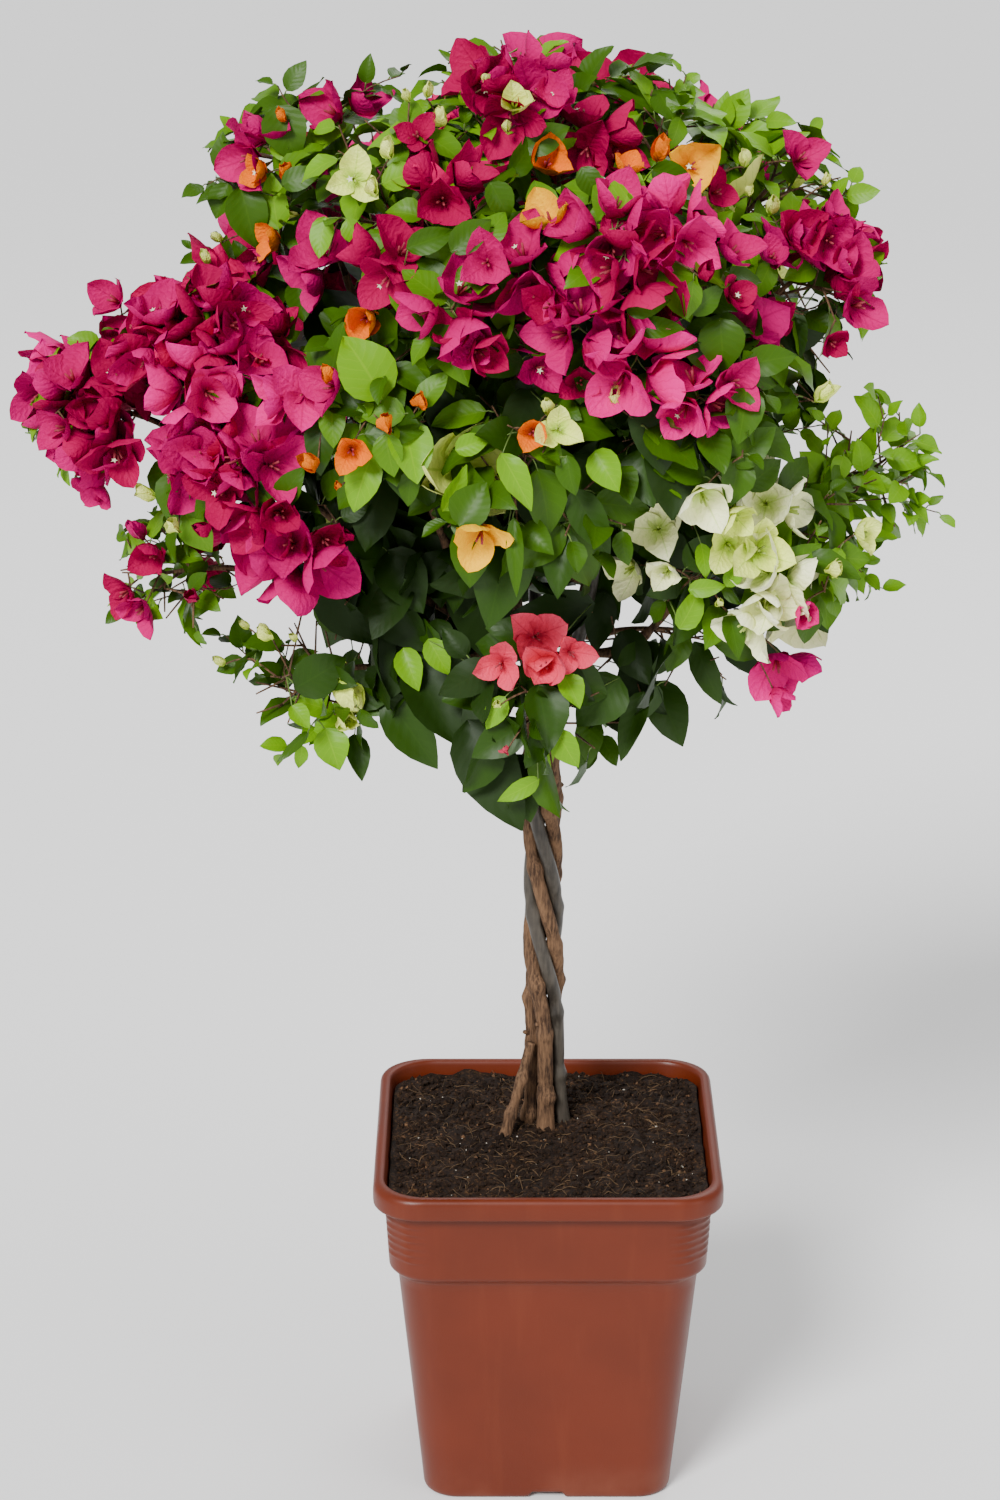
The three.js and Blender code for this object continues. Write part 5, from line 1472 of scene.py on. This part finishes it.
LEAF_STATIONS = (0.0, 0.07, 0.2, 0.36, 0.54, 0.72, 0.88, 1.0)
BRACT_STATIONS = (0.0, 0.07, 0.18, 0.32, 0.46, 0.60, 0.74, 0.88, 1.0)
ACROSS = (-1.0, -0.5, 0.0, 0.5, 1.0)
STALK_RADII = np.array([0.00058, 0.00045, 0.00042])

# Leaf tones: lit and shaded copies of one green, dealt out by place: bright and fresh are partly painted
# light, dark and deep painted shade; young leaves are also paler.
LEAF_TONES = {
    "bright": ((0.125, 0.295, 0.001), (0.30, 0.48, 0.02), 0.42, "leaf_green"),
    "fresh": ((0.068, 0.172, 0.000), (0.16, 0.31, 0.01), 0.42, "leaf_green"),
    "mid": ((0.034, 0.092, 0.000), (0.07, 0.16, 0.005), 0.42, "leaf_green"),
    "dark": ((0.018, 0.052, 0.001), (0.032, 0.082, 0.004), 0.44, "leaf_dark"),
    "deep": ((0.010, 0.029, 0.001), (0.018, 0.042, 0.004), 0.50, "leaf_dark"),
}
# Each hue's second colour darkens its veins and also paints shade at the foot of each bract. Crimson and pink
# are darker and paler copies of magenta: partly the bracts' own variety, and painted shade and painted light
# where SPRAYS puts them.
HUES = {
    "magenta": ((0.50, 0.000, 0.120), (0.23, 0.000, 0.038), (0.58, 0.000, 0.155), 0.4, "bract_magenta"),
    "crimson": ((0.37, 0.000, 0.060), (0.17, 0.000, 0.018), (0.44, 0.000, 0.080), 0.4, "bract_magenta"),
    "rose": ((0.56, 0.000, 0.088), (0.28, 0.000, 0.028), (0.64, 0.000, 0.112), 0.4, "bract_magenta"),
    "pink": ((0.68, 0.000, 0.180), (0.36, 0.000, 0.060), (0.78, 0.000, 0.240), 0.4, "bract_magenta"),
    "coral": ((0.76, 0.050, 0.110), (0.42, 0.014, 0.036), (0.84, 0.090, 0.160), 0.4, "bract_magenta"),
    "orange": ((0.82, 0.165, 0.000), (0.50, 0.070, 0.000), (0.88, 0.22, 0.000), 0.35, "bract_white"),
    "amber": ((0.93, 0.47, 0.001), (0.70, 0.26, 0.000), (0.94, 0.55, 0.002), 0.3, "bract_white"),
    "white": ((0.93, 0.95, 0.52), (0.40, 0.60, 0.05), (0.95, 0.96, 0.68), 0.45, "bract_white"),
    "cream": ((0.76, 0.86, 0.16), (0.30, 0.52, 0.02), (0.86, 0.93, 0.30), 0.45, "bract_white"),
}


def masses_of(*kinds):
    """The nodes of the masses of some kinds."""
    return ["mass_" + m for m, row in MASSES.items() if row[2] in kinds]


def make_foliage(growth, woods):
    """The twigs, stalks, leaves, bracts and the small true flowers, each kind and colour one piece."""
    stands_for = {"bright": masses_of("green", "mixed"), "deep": masses_of("dark", "coral"),
                  "magenta": masses_of("magenta"), "white": masses_of("white")}
    paths = np.array([t[0] for t in growth.twigs])
    share = np.linspace(0, 1, paths.shape[1])
    radii = np.array([lerp(t[1], t[2], share) for t in growth.twigs])
    points, faces = tubes(paths, radii, 5)
    piece("twigs", points, faces, woods["brown"])
    stalk_green = plain_material("stalk_green", (0.15, 0.24, 0.05), 0.55, 0.7)
    rows = np.concatenate([np.array(rows) for rows in growth.leaves.values()])
    seats = rows[:, :3] + unit(rows[:, 3:6]) * rows[:, 9:10] * 0.04
    leaf_stalks = np.stack([rows[:, 13:16], lerp(rows[:, 13:16], seats, 0.6) + 0.0008 * UP, seats], axis=1)
    stalks = np.concatenate([leaf_stalks, np.array(growth.stalks)])
    points, faces = tubes(stalks, STALK_RADII * np.ones((len(stalks), 1)), 3)
    piece("leaf_stalks", points, faces, stalk_green)
    for tone, rows in growth.leaves.items():
        colour, rib, roughness, slot = LEAF_TONES[tone]
        points, faces, uv = blades(rows, LEAF_STATIONS, ACROSS, 0.62, 0.98, hollow=False)
        material = leaf_material("leaf_" + tone, colour, rib, roughness)
        piece("leaves_" + tone, points, faces, material, stands_for.get(tone, ()), uv)
    for hue, rows in growth.bracts.items():
        colour, vein, tip, strength, slot = HUES[hue]
        points, faces, uv = blades(rows, BRACT_STATIONS, ACROSS, 0.55, 0.72, hollow=True)
        material = bract_material("bract_" + hue, colour, vein, tip, strength)
        piece("bracts_" + hue, points, faces, material, stands_for.get(hue, ()), uv)
    make_true_flowers(growth)


TRUE_FLOWER = Sizes(tube_radii=np.array([0.0005, 0.0008, 0.0007]), star_near=0.0009, star_far=0.0021)


def make_true_flowers(growth):
    """In each open blossom slim tubes, and in one of a few a small pale star at a mouth: three tubes lean out
    from the blossom's axis, and a star is ten points, near and far by turns, round its middle."""
    stars = []
    for shade, colour, slot in (("red", (0.36, 0.04, 0.06), "bract_magenta"),
                                ("lime", (0.42, 0.55, 0.10), "bract_white")):
        data = np.array(growth.tubes[shade])
        roots, axes, sizes = data[:, :3], data[:, 3:6], data[:, 6]
        helper = unit(np.cross(axes, [0.31, 0.52, 0.79]))
        third = np.cross(axes, helper)
        paths = []
        for k in range(3):
            turn = k * TURN / 3 + 0.5
            out = unit(axes + 0.22 * (helper * math.cos(turn) + third * math.sin(turn)))
            t = np.array([0.02, 0.55, 1.0])[None, :, None]
            paths.append(roots[:, None] + out[:, None] * sizes[:, None, None] * t)
            if k == 0:
                stars.append(np.concatenate([roots + out * sizes[:, None], out], axis=1)[::6])
        radii = TRUE_FLOWER.tube_radii * np.ones((3 * len(data), 1))
        points, faces = tubes(np.concatenate(paths), radii, 4)
        tube = plain_material("flower_tube_" + shade, colour, 0.6, 0.6)
        piece("flower_tubes_" + shade, points, faces, tube)
    stars = np.concatenate(stars)
    middles, out = stars[:, :3], stars[:, 3:]
    first = unit(np.cross(out, [0.2, 0.9, 0.4]))
    second = np.cross(out, first)
    j = np.arange(10)
    turn = TURN * j / 10
    far = np.where(j % 2, TRUE_FLOWER.star_near, TRUE_FLOWER.star_far)
    ring = (first[:, None] * np.cos(turn)[:, None] + second[:, None] * np.sin(turn)[:, None]) * far[:, None]
    lift = out[:, None] * np.where(j % 2, 0.0002, 0.0007)[:, None]
    points = np.concatenate([middles[:, None] + ring + lift, middles[:, None]], axis=1)
    star = plain_material("flower_star", (0.82, 0.80, 0.56), 0.5, 0.85)
    faces = repeated(fan(10, 10), len(middles), 11)
    piece("flower_stars", points.reshape(-1, 3), [faces], star)


# ---------------------------------------------------------------- camera, floor and light
def make_camera():
    """The camera, whose lens is its focal length over the view's height, times the sensor."""
    data = bpy.data.cameras.new("camera")
    data.sensor_width = CAMERA.sensor
    data.lens = CAMERA.focal / CAMERA.height * CAMERA.sensor
    camera = bpy.data.objects.new("camera", data)
    camera.location = CAMERA.place
    camera.rotation_euler = (math.radians(90 - CAMERA.pitch), 0, 0)
    bpy.context.scene.collection.objects.link(camera)
    bpy.context.scene.camera = camera


def make_studio():
    """A pale floor, a pale surround, and three large soft lamps."""
    half = 30
    mesh = bpy.data.meshes.new("floor")
    corners = [(-half, -half, 0), (half, -half, 0), (half, half, 0), (-half, half, 0)]
    mesh.from_pydata(corners, [], [(0, 1, 2, 3)])
    material, _, _ = shader("floor_white", (0.88, 0.88, 0.88), 0.6)
    mesh.materials.append(material)
    floor = bpy.data.objects.new("floor", mesh)
    bpy.context.scene.collection.objects.link(floor)
    world = bpy.data.worlds.new("surround")
    world.use_nodes = True
    background = world.node_tree.nodes["Background"]
    background.inputs[0].default_value = (1, 1, 1, 1)
    background.inputs[1].default_value = LIGHT.surround
    bpy.context.scene.world = world
    for name, kind, place, strength, spread in LIGHT.lamps:
        lamp = bpy.data.lights.new(name, kind)
        lamp.energy = strength
        if kind == "SUN":
            lamp.angle = math.radians(spread)
        else:
            lamp.size = spread
        thing = bpy.data.objects.new(name, lamp)
        thing.location = place
        aim = unit(np.array(place) - np.array([0, 0, 0.6]))
        thing.rotation_euler = (math.acos(aim[2]), 0, math.atan2(aim[1], aim[0]) + math.pi / 2)
        bpy.context.scene.collection.objects.link(thing)


# ---------------------------------------------------------------- the plant in its pot
make_camera()
make_studio()
make_pot()
make_soil(np.random.default_rng(11))
stem_paths, feeders = grow_limbs()
barks = make_trunk(stem_paths, feeders, np.random.default_rng(12))
grown = Growth()
for index, mass_name in enumerate(MASSES):
    grow_mass(grown, mass_name, feeders[mass_name][0], FIRST_SEED + SEED_STEP * index)
grow_inner_leaves(grown, feeders, np.random.default_rng(13))
open_up(grown)
grow_sprays(grown, np.random.default_rng(14))
clear_the_way(grown)
grow_arches(grown, np.random.default_rng(15))
grow_showing_leaves(grown, np.random.default_rng(16))
make_foliage(grown, barks)
